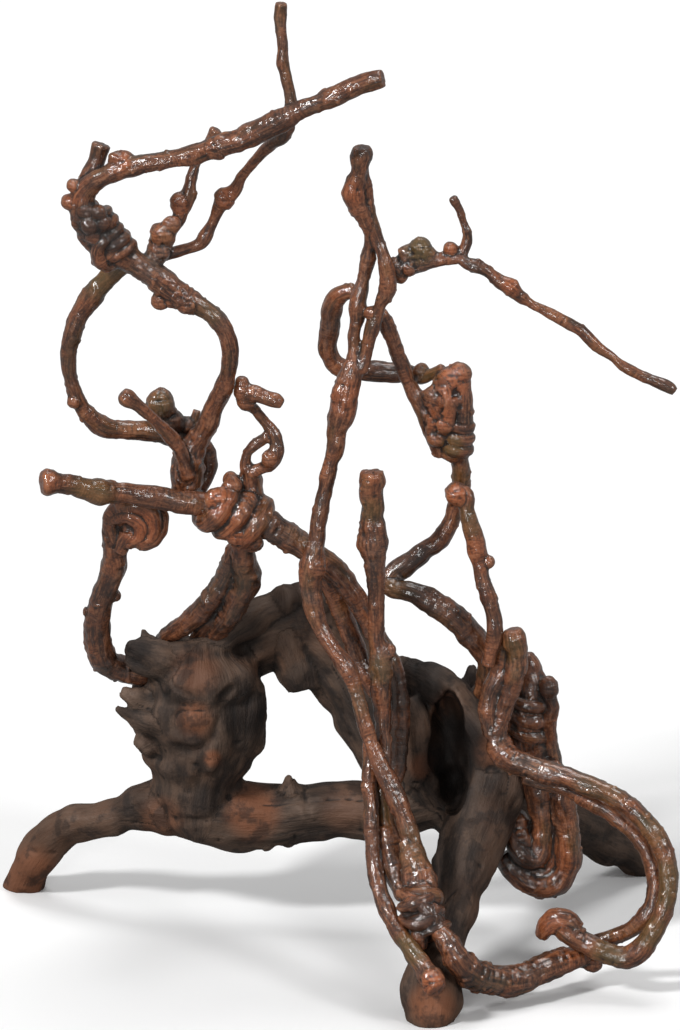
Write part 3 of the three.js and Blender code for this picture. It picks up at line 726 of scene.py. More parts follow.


# the second group gives the masks of painted shade in crevices and painted highlight on ridges
def bark_and_shading(r, grain, place_3d, rings):
    bark = r.node("ShaderNodeGroup", node_tree=bark_grain)
    r.link(grain, bark.inputs["Grain"])
    bark.inputs["Rings"].default_value = rings
    painted_light = r.node("ShaderNodeGroup", node_tree=crease_shading)
    r.link(r.attribute("crevice"), painted_light.inputs["Crevice"])
    r.link(place_3d, painted_light.inputs["Place"])
    return bark.outputs, painted_light.outputs


def settle(shader, values):
    for name, value in values.items():
        shader.inputs[name].default_value = value


def lacquered_root():
    material, r, shader = new_material("lacquered_root")
    grain = r.attribute("grain", "Vector")
    place_3d = r.node("ShaderNodeTexCoord").outputs["Object"]
    bark, painted_light = bark_and_shading(r, grain, place_3d, LACQUER_RINGS)
    tone = r.noise(grain, (15, 6.0, 6.0), 3.0, 0.6)
    lines = r.noise(grain, (11, 1.3, 1.3), 3.0, 0.6)
    rings = r.noise(grain, (1.1, 4.5, 4.5), 2.0, 0.6)
    specks = r.noise(grain, (1.5, 1.1, 1.1), 3.0, 0.65)
    where = r.step(r.noise(grain, (15, 8, 8), 1.0), 0.5, 0.66)
    fibres = r.node("ShaderNodeMix", data_type="FLOAT")
    for socket, value in zip((0, 2, 3), (where, lines, rings)):
        r.feed(fibres.inputs[socket], value)
    mottle = r.math("ADD", r.times(fibres.outputs[0], 0.62), r.times(specks, 0.38))
    ashen = r.step(r.noise(place_3d, (0.03, 0.03, 0.03), 3.0, 0.6), 0.5, 0.68)
    mossy = r.times(r.step(r.noise(grain, (24, 9, 9), 2.0), 0.52, 0.7), 0.35)
    olive = r.math("MAXIMUM", r.attribute("olive"), mossy)
    colour = r.paint(r.blend(r.step(tone, 0.32, 0.66), linear(66, 36, 22), linear(130, 75, 46)), [
        (ashen, 0.6, (88, 74, 66)),
        (r.attribute("orange"), 0.75, (172, 92, 50)),
        # painted highlight on convex ridges
        (painted_light["Ridge_Highlight"], 0.5, (166, 106, 72)),
        (r.step(mottle, 0.48, 0.64), 0.5, (170, 116, 82)),
        (r.step(mottle, 0.52, 0.38), 0.65, (38, 23, 17)),
        (olive, 0.6, (92, 76, 34)),
        (r.attribute("cut"), 0.5, (120, 72, 48)),
        (r.attribute("dark"), 0.8, (34, 25, 21)),
        # painted shade that turns crevices nearly black
        (painted_light["Crease_Shade"], 0.9, (20, 12, 9)),
    ])
    r.link(colour, shader.inputs["Base Color"])
    r.link(r.step(mottle, 0.3, 0.7, 0.5, 0.3), shader.inputs["Roughness"])
    r.link(r.bump(bark["Height"], BARK_DEPTH), shader.inputs["Normal"])
    varnish, _ = bark_height(r, grain, LACQUER_RINGS)
    beads = r.math("ADD", varnish, r.noise(grain, (2.4, 1.6, 1.6), 1.0))
    r.link(r.bump(beads, VARNISH_DEPTH), shader.inputs["Coat Normal"])
    settle(shader, {"Coat Weight": 1.0, "Coat IOR": 1.6, "Coat Roughness": 0.08, "Specular IOR Level": 0.25})
    return material


lacquer = lacquered_root()
print(lacquer.name, "has", len(lacquer.node_tree.nodes), "nodes")

# %% [markdown]
# ## The matt finish of the stump
#
# The stump has no varnish. It is grey-brown and dry, with a painted highlight on its ridges and painted shade
# that turns its hollows and cracks nearly black, and a warmer brown where the light grain shows.

# %% Driftwood material
DRY_DEPTH, DRY_RINGS = 0.0006, 0.3


def driftwood():
    material, r, shader = new_material("driftwood")
    grain = r.attribute("grain", "Vector")
    place_3d = r.node("ShaderNodeTexCoord").outputs["Object"]
    bark, painted_light = bark_and_shading(r, r.stretched(grain, (2.4, 1.5, 1.5)), place_3d, DRY_RINGS)
    tone = r.noise(grain, (30, 6.0, 6.0), 4.0, 0.6)
    cloud = r.noise(place_3d, (0.045, 0.045, 0.045), 3.0, 0.55)
    blotch = r.noise(place_3d, (0.012, 0.012, 0.014), 4.0, 0.62)
    colour = r.paint(r.blend(r.step(tone, 0.32, 0.66), linear(50, 41, 36), linear(94, 74, 61)), [
        (r.step(cloud, 0.45, 0.7), 0.6, (98, 66, 46)),
        (r.step(bark["Streak"], 0.4, 0.64), 0.25, (100, 82, 70)),
        # painted highlight on convex ridges
        (painted_light["Ridge_Highlight"], 0.45, (120, 98, 84)),
        (r.attribute("orange"), 0.75, (136, 84, 56)),
        (r.step(blotch, 0.5, 0.38), 0.6, (38, 31, 28)),
        # dark spots, among them painted shade inside the big hollow of the bulk
        (r.attribute("dark"), 0.85, (26, 22, 21)),
        # painted shade that turns hollows and cracks nearly black
        (painted_light["Crease_Shade"], 0.8, (22, 17, 14)),
    ])
    r.link(colour, shader.inputs["Base Color"])
    r.link(r.step(tone, 0.3, 0.7, 0.82, 0.62), shader.inputs["Roughness"])
    r.link(r.bump(bark["Height"], DRY_DEPTH, 0.7), shader.inputs["Normal"])
    settle(shader, {"Specular IOR Level": 0.35})
    return material


dry_wood = driftwood()
print(dry_wood.name, "has", len(dry_wood.node_tree.nodes), "nodes")

# %% [markdown]
# ## Handing a piece over
#
# Each finished piece takes the place of its imported solid: it rides on the same body, the solid is hidden,
# and the piece wears its finish.

# %% Hand over
def hand_over(piece, node, finish):
    piece.data.materials.clear()
    piece.data.materials.append(finish)
    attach(piece, "root")
    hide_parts(node)


def grow_root(node, parts, tints):
    piece = skin(node + "_bark", parts, tints)
    hand_over(piece, node, lacquer)


# %% [markdown]
# ## The stump
#
# The stump is the thick wood that carries everything: a left leg, a log, an upright block with a pocket, a
# bridge, a right bulk with a deep hollow, and two more legs. Thick limbs are melted together, then the
# hollows are cut out of them with a boolean before the skin gets its furrows and cracks.

# %% Stump
stump_wood = [
    # left leg, from the foot up to the log
    limb([[10, 448, 94, 11], [12.5, 440, 89, 10.5], [18, 428, 81, 10], [26, 418.5, 75, 10.2],
      [36, 413, 69, 9.8], [50, 410.5, 61, 8.2], [60, 408, 56, 9], [72, 405.5, 50, 12], [84, 404, 45, 16],
      [98, 403, 42, 18]], seed=1),
    # log that lies between the legs
    limb([[84, 404, 44, 15.5], [104, 406, 42, 17.5], [122, 408.5, 41, 17.5], [140, 408, 40, 16],
      [155, 406.5, 38, 15], [172, 405, 37, 15], [188, 406, 36, 15.5], [202, 405, 33, 14.5],
      [214, 402, 28, 14], [228, 400, 24, 16]], seed=2),
    # upright block on the left: neck, swollen body and shoulder
    limb([[97, 403, 42, 20], [97, 391, 43, 22], [98.5, 379, 44, 28], [100, 364, 45, 32], [98, 350, 46, 34],
      [100, 336, 47, 31], [106, 327, 50, 23]], seed=3),
    # darker lobe beside it, split off by a cleft
    limb([[110, 388, 36, 8], [116, 377, 32, 10], [120, 364, 32, 10.5], [122, 351, 34, 11],
      [121, 339, 40, 10]], seed=4),
    # rim of the pocket, from the ear up to the bridge
    limb([[66, 325, 24, 5], [78, 327, 24, 5.5], [90, 326.5, 26, 6], [104, 324, 30, 7], [118, 315, 36, 8],
      [130, 306, 42, 8], [142, 301, 48, 7.5]], seed=21),
    # swollen shoulder right under the rim
    lump(101, 337, 37, 27, [1.1, 1, 0.62]),
    # belly of the block under a crease, and the stub at its foot
    *lumps(
        [93, 362, 38, 26.5, [0.75, 1, 0.5]], [105, 381, 18, 5, [0.9, 1, 1.4]], [127, 344, 34, 6],
        [128, 358, 34, 5.5], [125, 373, 34, 6],
    ),
    # gnarled top of the bridge
    *lumps([141, 300, 46, 8], [150, 297, 50, 6.5], [160, 303, 48, 7], [171, 312, 44, 7]),
    # bridge from the block over to the right bulk, with its heavy lobe
    limb([[106, 334, 50, 18], [124, 322, 54, 18], [138, 315, 56, 19], [152, 314, 56, 20],
      [166, 320, 54, 21], [178, 336, 50, 21], [188, 356, 44, 20], [200, 380, 38, 19]], seed=5),
    limb([[146, 318, 50, 15], [150, 334, 46, 13], [153, 345, 44, 9.5]], seed=6),
    limb([[160, 330, 50, 13], [167, 343, 48, 11], [178, 354, 44, 10.5], [187, 370, 40, 11]], seed=14),
    # right bulk and its raised rim
    limb([[205, 340, 40, 13], [213, 350, 36, 21], [222, 362, 32, 28], [228, 378, 30, 30],
      [234, 395, 32, 27], [243, 412, 35, 21]], seed=7),
    limb([[204, 336, 36, 7], [216, 341, 20, 9], [230, 352, 8, 10], [241, 366, 4, 11],
      [249, 388, 6, 12]], seed=8),
    # front leg, down to its foot
    limb([[245, 362, 30, 17], [247, 384, 15, 20], [241, 405, 0, 19], [236, 420, -14, 17],
      [230.5, 435, -30, 15], [228, 450, -47, 12], [223.5, 465, -62, 11.5], [219, 480, -75, 12.5],
      [216.5, 493, -86, 15.5], [215.8, 501, -92, 15.5], [215.5, 508, -96, 13],
      [215.5, 515, -98, 10]], seed=9),
    # twin muscle of the front leg and the dark web behind it
    limb([[250, 372, 22, 10], [254, 388, 16, 11], [250, 405, 4, 9], [243, 420, -8, 7]], seed=26),
    limb([[222, 430, -16, 6], [221, 446, -34, 5], [219, 462, -54, 4]], seed=27),
    # right leg, away to the back
    limb([[246, 396, 32, 20], [264, 402, 47, 17], [282, 410, 67, 15], [299, 416.5, 88, 14],
      [314, 423.5, 107, 13], [325, 430.5, 119, 12.5]], seed=10),
    # lobe that hangs beside the hollow, and the dark gnarls on top of the bulk
    limb([[205, 350, 16, 6.5], [209, 364, 11, 8], [210, 379, 9, 8.6], [206, 391, 13, 7]], seed=29),
    *lumps(
        [200, 333, 34, 5], [208, 334.5, 32, 5], [217, 338, 26, 4.6], [223, 342, 20, 4.4],
        [236, 338, 20, 5, [0.9, 1, 1.4]],
    ),
    # ear over the pocket, and the two spikes below it
    limb([[94, 336, 30, 10], [80, 329, 24, 8.5], [70, 325, 20, 6], [62, 323, 18, 4.4]], seed=11),
    limb([[80, 335, 24, 6], [70, 332, 20, 4.5], [62, 329, 18, 3]], seed=24),
    limb([[84, 362, 28, 10], [72, 361, 22, 5.5], [64, 358, 20, 3], [57, 354, 18, 1.6]], seed=12),
    limb([[82, 350, 30, 9], [69, 350, 24, 5], [60.5, 346, 22, 2.2]], seed=13),
    limb([[82, 372, 34, 11], [74, 372, 30, 7], [70, 375, 28, 4]], seed=15),
    limb([[76, 322, 26, 4], [72, 318, 26, 2.6], [71, 314, 26, 1.6]], seed=25),
    # stub on top of the log, and two knots under it
    limb([[146, 399, 38, 9], [145, 392, 36, 4], [144.3, 388, 35, 1.8]], seed=16),
    *lumps([133, 422, 34, 5], [144, 421, 34, 4.5]),
]
stump_hollows = [
    # pocket in the top of the block, where two roots go in
    limb([[52, 334, 26, 8], [66, 335, 32, 8.5], [80, 333, 42, 9], [92, 324, 46, 9]]),
    # cleft between the block and its lobe
    limb([[80, 374, 12, 3.4], [92, 377, 13, 4], [102, 374, 13, 4], [109, 362, 12, 4],
      [112, 350, 12, 3.6], [118, 344, 14, 3]]),
    # small knot hole in the front of the block
    limb([[84, 333, 4, 3], [85.5, 333, 16, 2.6]]),
    # big dark hollow of the bulk
    *lumps(
        [224, 370, 2, 13, [0.7, 1.6, 2.1]], [226, 394, 0, 10, [0.8, 2, 1.2]],
        [229, 380, -2, 10, [0.85, 1.6, 1.8]],
    ),
]
stump_tints = {
    # The first four dark spots are painted shade inside the big hollow of the bulk.
    "dark": [
        (226, 380, 22, 1), (214, 346, 12, 1), (230, 370, 18, 1), (228, 396, 15, 0.9), (66, 325, 13, 0.9),
        (122, 356, 17, 0.85), (112, 386, 9, 0.6), (103, 401, 12, 0.8), (120, 316, 16, 0.5),
        (150, 300, 22, 0.6), (150, 340, 12, 0.5), (186, 350, 26, 0.7), (250, 350, 18, 0.7),
        (86, 348, 9, 0.7), (92, 371, 12, 0.6), (88, 386, 9, 0.5), (212, 334, 16, 0.9), (236, 336, 8, 0.9),
        (64, 403, 14, 0.5), (240, 400, 26, 0.5), (228, 436, 22, 0.6), (222, 466, 16, 0.6),
        (162, 398, 12, 0.5), (300, 415, 24, 0.4),
    ],
    "orange": [
        (97, 360, 12, 0.9), (98, 336, 16, 0.5), (106, 380, 6, 1), (216, 502, 15, 1), (14, 442, 22, 0.9),
        (126, 407, 18, 0.9), (172, 405, 16, 0.3), (80, 410, 14, 0.5), (246, 376, 12, 0.7),
        (212, 384, 9, 0.8), (222, 352, 9, 0.5),
    ],
}
stump = skin("stump_wood", stump_wood, stump_tints, stump_hollows, STUMP_VOXEL, stump_relief)
hand_over(stump, "stump", dry_wood)

# %% [markdown]
# ## Crown strand
#
# The crown is an S-shaped root that ends in a cut branch at the top. A short stub, a thin side root and
# two long twigs leave it, and its bend is thick and gnarled, nearly black in the folds.

# %% Crown strand
crown_strand = [
    limb([[92.5, 246, 7, 6.5], [94, 238, 8, 8.2], [95, 228, 7.5, 8], [98, 221, 6, 6], [102.5, 215, 4, 5],
      [107, 204, 0, 4.7], [111.5, 195, -4, 4.5], [114.5, 185, -8, 4.1], [115.3, 175, -11, 4],
      [112.5, 165.5, -12, 4.5], [107, 158, -12, 4.9], [100, 153, -11, 5], [91, 148.5, -10, 6.6],
      [82, 142, -9.5, 6.8], [73, 135.5, -9, 6.4], [67, 131.5, -8.5, 6.2], [60, 126.5, -8.5, 8],
      [54, 123, -8.5, 9.8], [48.5, 117, -9, 9.6], [44, 109.5, -10, 8], [42, 102, -11, 6.6],
      [43.5, 96, -12.5, 6], [48, 91.5, -14, 5.2], [54, 88.5, -15.5, 4.8], [60, 86, -16.5, 4.8],
      [70, 83.5, -18, 4.8], [80, 81.5, -19, 4.8], [90, 80, -20, 5], [100, 77.5, -21.5, 5.6],
      [110, 74, -23, 5.8], [120, 71, -25, 6], [130, 66.5, -27, 6.3], [140, 62, -29, 5.8],
      [150, 56.5, -31, 5], [160, 52.5, -33, 4.7], [170, 48.5, -35, 5.2], [180, 44, -37, 5.2],
      [188, 41.5, -38.5, 5], [191.5, 40.8, -39, 4.8]], seed=41),
    limb([[43, 101, -9.5, 5], [45, 92, -8.5, 5], [48.5, 82.5, -7, 4.6], [51.5, 73, -5.5, 4.6]],
      seed=42),
    limb([[94, 238, 2, 4], [89.5, 224, -3, 3.6], [82, 215, -7, 3.4], [74.5, 207.5, -10, 3],
      [68, 202, -12, 3], [63.5, 199, -13, 4.2], [61, 197, -13, 3.4]], seed=43),
    # two thin twigs that leave the back of the bend
    limb([[76, 131, -5, 5], [80, 125, -3, 5.5], [82, 118, -1, 5.6], [89, 111, 2, 4], [92, 105, 4, 3.6],
      [94.5, 98, 5, 4], [95.8, 91, 6, 3], [98, 83, 7, 2.5], [102, 76, 7.5, 2.4], [106, 70, 8, 2.6],
      [108.5, 65.5, 8, 3.1]], seed=44),
    limb([[80, 128, -1, 4.5], [85, 127.5, 1, 3], [90, 125.8, 2, 3], [95, 124.3, 3, 2.9], [100, 122.5, 4, 3],
      [103, 118.5, 4, 3.5], [107, 110.5, 4, 2.8], [109.5, 105, 4, 3.8], [113, 99.5, 3, 5],
      [117.5, 95.5, 2, 3.6], [121, 89, 0, 3], [125, 84, -2, 2.8], [131, 77.5, -6, 3], [136, 73, -11, 3.4],
      [142, 69, -17, 3.4], [145, 61, -22, 3.2], [145.5, 52, -22, 3.2], [144, 44, -21, 2.8],
      [142.5, 37, -20, 3.1], [141.5, 33, -19, 3.7], [141.5, 24, -18, 2.8], [140.5, 15, -17, 2.8],
      [140.5, 7, -16, 3.4], [140.8, 3, -16, 3.2]], seed=45),
    limb(winding([46, 106, -10], [61, 127, -9], turns=5, reach=7.4, radius=2.3, begin=60),
      seed=46),
    *lumps(
        [43, 106, -15, 4.4], [50, 107, -17, 3.8], [45, 114, -18, 4.2], [40, 112, -13, 4],
        [52, 112, -17, 3.6], [47, 119, -17, 4], [53, 128, -9, 8.4],
    ),
    limb([[55, 134, -12, 3.4], [50, 130, -16, 3.6], [50, 124, -18, 3], [54, 120, -19, 2.4]], seed=47),
    *lumps(
        [37, 93.5, -13, 3.2], [35, 102, -12, 4], [61, 80.5, -15, 5, [1.4, 0.9, 0.8]], [81.5, 118, -3, 6.6],
        [86, 113, -4, 4.4], [80, 126, -4, 5.6], [90, 103, 3, 4.6, [1, 1, 1.5]],
        [112.5, 100, 3, 5.2, [1, 1, 1.2]], [86, 149, -10, 5.5], [80, 151, -10, 4.4], [94, 152, -11, 6.2],
        [107.5, 75.5, -23, 5.4, [1.5, 1, 1]],
    ),
]
grow_root("crown_strand", crown_strand, tints={
    "dark": [(46, 112, 13, 1), (52, 76, 14, 0.5), (56, 120, 10, 0.9), (141, 60, 26, 0.45)],
    "olive": [(104, 156, 10, 0.5), (84, 118, 7, 0.4)],
    "orange": [
        (60, 82, 8, 0.9), (36, 98, 8, 0.5), (114, 100, 8, 0.7), (90, 104, 8, 0.6), (83, 118, 7, 0.5),
    ],
})

# %% [markdown]
# ## Ring strand
#
# Below the crown a thinner root makes an open ring on the left. Two burls sit on it, and its top is olive.

# %% Ring strand
ring_strand = [
    limb([[67, 125, 2, 4], [60, 133.5, 5, 4.6], [52, 141.5, 6.5, 4.8], [45, 150, 7, 5.2],
      [39.5, 158.5, 7, 4.4], [36, 168, 7, 4.5], [34.3, 180, 7, 4.3], [35.5, 190, 7, 3.8], [39, 200, 7.5, 4],
      [44, 207.5, 8.5, 4.5], [51.5, 213.5, 10, 4.9], [60, 215, 12, 4.9], [70, 215, 14, 4.8],
      [80, 216.5, 17, 4.6], [90, 219, 20, 5.5], [98, 221, 22, 5.5], [103, 225, 22.5, 4.5],
      [104.3, 231, 22, 4.2], [103, 238, 20, 4.2], [99, 245, 16, 4.2]], seed=51),
    *lumps([80, 202, 15, 8, [0.95, 0.9, 1]], [86, 210.5, 17, 6.2], [93, 213, 19, 4.4]),
    limb([[96, 219, 21, 4], [97, 212, 20, 2.8], [98.5, 205, 19, 2.2]], seed=52),
    lump(37, 201, 5, 3.2),
]
grow_root("ring_strand", ring_strand, tints={
    "olive": [(54, 138, 18, 0.9), (80, 202, 10, 0.8)],
    "dark": [(36, 180, 24, 0.45), (86, 214, 14, 0.6), (98, 238, 16, 0.6)],
    "orange": [(62, 199, 5, 0.7)],
})

# %% [markdown]
# ## Left riser
#
# A thick root climbs out of the pocket of the stump on the left and folds over itself in a small knot
# that holds the cut root.

# %% Left riser
left_riser = [
    limb([[82, 333, 44, 4.5], [75, 336, 38, 6], [67.5, 336, 32, 6.4], [62, 335, 29, 6.4],
      [54, 332, 26, 6.8], [50, 327, 23.5, 7.1], [48.5, 320, 21, 7.1], [48, 310, 18, 6.8],
      [50.5, 300, 15, 6.2], [54, 291, 12, 6], [57, 283, 10, 6.4], [57, 275, 7, 5.8], [56, 268, 4, 5.2],
      [55.5, 261, 2, 3.8]], seed=11),
    limb([[57, 270, 3, 4.5], [55, 262, 2, 4.2], [57, 256.5, 1, 4.4], [62, 252.5, 0.5, 4.6],
      [70, 251.5, 1.5, 4.6], [77, 254, 2.5, 4.6], [79.5, 260, 2, 4.8], [77, 267.5, 0, 5.2],
      [71.5, 270.5, -1, 5], [66.5, 267.5, -1, 3.4]], seed=12),
    limb([[60, 276, 1, 3.4], [64, 268, -1, 3.8], [70, 262, -1, 3.4], [76, 259, 0, 3]], seed=13),
    lump(67, 263, 1, 6.2, [1.3, 0.8, 1.1]),
    limb([[59, 254, -2, 3.4], [66, 252, -4, 4.2], [74, 255, -4, 4.4], [77, 262, -3, 4.4],
      [74, 269, -2, 4.2], [68, 272, -2, 3.6]], seed=14),
    limb([[58, 260, -1, 3.6], [64, 258, -4, 4], [70, 262, -4, 4.2], [70, 268, -3, 3.8],
      [64, 272, -1, 3.4]], seed=15),
    *lumps([57.5, 298, 14, 2.8], [43.5, 306, 17, 2.6]),
]
grow_root("left_riser", left_riser, tints={
    "orange": [(70, 264, 13, 0.8)],
    "dark": [(50, 305, 26, 0.55), (56, 334, 14, 0.7)],
})

# %% [markdown]
# ## Knotted root
#
# Two roots climb side by side out of the block and coil into a glossy knot round the root that lies across. A
# hooked twig with a small eye grows on top.

# %% Knotted root
knotted_root = [
    limb([[122, 270, 6, 6], [121.5, 280, 10, 6.5], [123.5, 290, 14, 6.5], [119, 300, 18, 6.5],
      [113.5, 308.5, 24, 6], [107, 316.5, 31, 5.5], [101, 325, 38, 5]], seed=31),
    limb([[118, 274, 12, 4.8], [113, 287, 17, 5], [108, 296, 20, 5.4], [101, 305, 24, 5.6],
      [93, 312, 29, 5.2], [85, 317, 34, 4.6], [80, 322, 39, 4.2], [77, 328, 44, 4]], seed=32),
    limb(winding([105, 251, -3], [132, 264, 0], turns=3.2, reach=10.3, radius=5, begin=200),
      seed=33),
    *lumps(
        [109, 250, -10, 6.4, [1.1, 0.9, 1]], [116, 243, -5, 4.6], [119, 267, -8, 7], [112, 259, -8, 6.5],
        [126, 270, -4, 5.5], [115, 239.5, -1, 3.6],
    ),
    # hook twig with its small eye
    limb([[126, 258, 8, 6.5], [125.5, 248, 5, 6.2], [125, 240, 2, 6], [123.5, 234, 0, 4],
      [122.7, 231, 0, 3], [124.5, 225.5, 0, 3], [129, 221.5, 0, 3.2], [134, 218, -1, 3]], seed=34),
    limb([[125, 237, -1, 3.4], [130, 234.5, -2, 3.4], [135, 232, -2.5, 3.6], [138.3, 226, -2, 3.8],
      [138, 219, -1, 3.6], [134.8, 213.7, 0, 2.9], [131.6, 210, 0, 2.4], [128, 205.5, -1, 2.2],
      [124, 202, -2, 4]], seed=35),
    *lumps([134.8, 229.5, -4, 4.4], [123.3, 201, -2, 5], [121.5, 196, -3, 4.8], [121, 191.5, -2.5, 3.4]),
    limb([[122, 196, -3, 4.2], [127, 197, -5, 4.2], [132.5, 199, -7, 4], [138, 200.5, -9, 3.8],
      [141.5, 202, -10, 2.4]], seed=36),
    limb([[119, 298, 20, 4], [111, 306.5, 25, 4.6], [103, 314, 31, 4.6], [97, 322, 38, 4]], seed=36),
]
grow_root("knotted_root", knotted_root, tints={
    "orange": [(109, 250, 10, 1), (119, 268, 12, 0.8), (113, 258, 8, 0.7)],
    "dark": [(110, 300, 30, 0.55), (124, 214, 14, 0.4)],
    "olive": [(120, 290, 10, 0.4)],
})

# %% [markdown]
# ## Arch strand
#
# This root starts at a flat cut end on the far left, runs level through both knots and arches down in
# front of the bridge, where a second strand joins it.

# %% Arch strand
arch_strand = [
    limb([[21.5, 241.5, -25, 5.8], [25, 241.3, -24, 6.4], [30, 241.8, -22.5, 5.2], [37, 242.5, -20, 5],
      [43, 244.3, -18, 5.7], [50, 246, -16, 6.2], [60, 246.2, -12.5, 5.4], [70, 247.5, -9.5, 5.6],
      [80, 249, -7, 5.4], [90, 251, -4.5, 5.6], [100, 252, -3, 5.6], [112, 255, -1.5, 6],
      [125, 259, 0, 6.4], [138, 264.5, 0, 6.9], [151, 273, 0, 6.7], [163, 281.5, -1, 6.4],
      [169, 287, -1.5, 6.2], [175, 294.5, -2, 6], [181, 305, -3, 5], [186, 314, -4, 4.6],
      [191.5, 322.5, -5, 4.6], [196, 331, -6, 4.6], [199, 340, -7, 4.6], [200, 350, -8, 4.6],
      [200, 365, -9, 4.6], [199.5, 375, -10, 4.4], [198.5, 384, -11, 3.6]], seed=21),
    limb([[158, 280, 3, 3.5], [162, 288, 5, 4.4], [167, 297, 6, 4.6], [172, 309, 5, 4.6],
      [177, 322, 3, 4.6], [181, 334, 0, 4.6], [186, 344, -3, 4.4], [192, 350, -6, 3.6]], seed=22),
    limb([[199.5, 372, -10, 4.4], [198.5, 384, -12, 4.2], [197, 393, -16, 3.6], [195, 401, -21, 2.6]],
      seed=23),
]
grow_root("arch_strand", arch_strand, tints={
    "orange": [(24, 241, 7, 0.6)],
    "olive": [(46, 248, 16, 0.8)],
    "dark": [(200, 346, 16, 1), (199, 374, 20, 1), (78, 250, 14, 0.4)],
})

# %% [markdown]
# ## Tall strand
#
# The tallest single strand is twinned at the top, swells into a bundle half way, and winds round itself in
# a knot at the front leg.

# %% Tall strand
tall_strand = [
    limb([[181, 74.5, -5, 4.4], [180.8, 79, -5, 5.7], [179.5, 86, -5, 4.1], [178, 92, -5, 5.2],
      [176.8, 97.5, -5, 5.9], [179, 104, -5, 4.8], [182, 110, -5.5, 3.8], [185, 116, -4.5, 3.2],
      [185, 122, -3, 3.2], [184, 130, -2, 3.8], [183, 135, -2, 3.3], [181.8, 140, -2.5, 3.2],
      [180.3, 146, -3.5, 4.2], [178.8, 151, -4, 4.1], [178.5, 156, -4.5, 4.3], [178.3, 161, -5, 3.7],
      [177, 166, -6, 2.9], [177, 173, -7, 3], [177, 180, -8.5, 4], [176, 186, -10, 5.6],
      [174.5, 191, -11, 6.4], [173, 197, -12, 6.8], [172, 204, -12.5, 6.7], [170, 210, -13, 6.4],
      [168.5, 215, -13.5, 5.2], [168.3, 220, -14, 4.6], [167.8, 225, -14.5, 4.5], [165.5, 231, -15, 3.7],
      [164, 238, -16, 3.8], [162.2, 246, -17, 3.9], [160.5, 255, -18.5, 4.1], [159, 262.5, -20, 3.8],
      [158.5, 270, -21, 3.8], [157, 276, -22, 5.2], [156, 283, -23, 7], [155.5, 290, -24, 6],
      [155.7, 297, -25, 5], [157.5, 306, -26.5, 4.3], [160.5, 314.5, -28.5, 4.1], [166.5, 324, -31.5, 4.1],
      [172, 331, -34, 4.8], [176, 339.5, -37, 4], [178.8, 349, -39.5, 3.5], [181, 357.5, -41.5, 3.5],
      [184, 367.5, -43.5, 3.6], [187, 375, -45.5, 4], [190.5, 383, -48, 4.4], [194.5, 391, -51, 4.8],
      [198.5, 400, -54.5, 4.8], [202, 409, -58, 4.8], [205.5, 420, -62, 5], [208, 430, -66, 5.5],
      [211, 440, -71, 6], [212, 448, -76, 6.5]], seed=61),
    limb([[181.5, 84, -3.5, 2.8], [183.5, 95, -2.5, 2.8], [185, 105, -3, 2.8], [187, 116, -5, 3.2],
      [189, 121, -6, 3.2], [191.5, 128, -8, 3.2], [193, 134, -9, 4], [194, 142, -10, 4.6],
      [192.8, 148, -10, 4.3], [190.3, 152, -9.5, 3], [189, 157, -9, 2.8], [186.5, 163, -9, 3.6],
      [184.5, 170, -9, 3.3], [183, 177, -9.5, 3.2], [180, 186, -10.5, 4]], seed=62),
    lump(185.5, 157, -8, 3.5),
    # knot at the bottom, against the front leg
    limb(winding([210, 443, -75], [213, 471, -85], turns=3.6, reach=7, radius=4.4, begin=55),
      seed=63),
    limb(winding([207, 449, -82], [217, 466, -86], turns=2.5, reach=8.2, radius=2.4, begin=200),
      seed=64),
    limb([[199, 446, -80, 2.4], [206, 449, -86, 2.8], [214, 455, -91, 3], [220, 463, -90, 2.6]], seed=65),
    limb([[200, 459, -84, 2.4], [206, 462, -92, 2.8], [213, 461, -93, 2.6], [219, 452, -89, 2.6]], seed=66),
    limb([[203.5, 420, -62, 5], [207, 430, -67, 7.2], [209.5, 439, -72, 8.4], [211, 447, -77, 8.6]], seed=67),
    *lumps(
        [212, 457, -80, 8.4, [0.9, 0.9, 1.5]], [206, 452, -88, 4], [218, 461, -88, 4.2],
        [209, 468, -92, 3.8],
    ),
]
grow_root("tall_strand", tall_strand, tints={
    "orange": [(174, 200, 13, 0.6), (177, 97, 8, 0.6)],
    "dark": [(182, 76, 5, 0.9), (212, 460, 14, 0.85), (160, 260, 16, 0.35), (192, 390, 18, 0.3)],
    "olive": [(206, 424, 16, 0.5), (181, 350, 12, 0.4)],
})

# %% [markdown]
# ## Reaching twig
#
# A thin twig reaches out far to the right from a cluster of nodules, with a short side twig that points up.

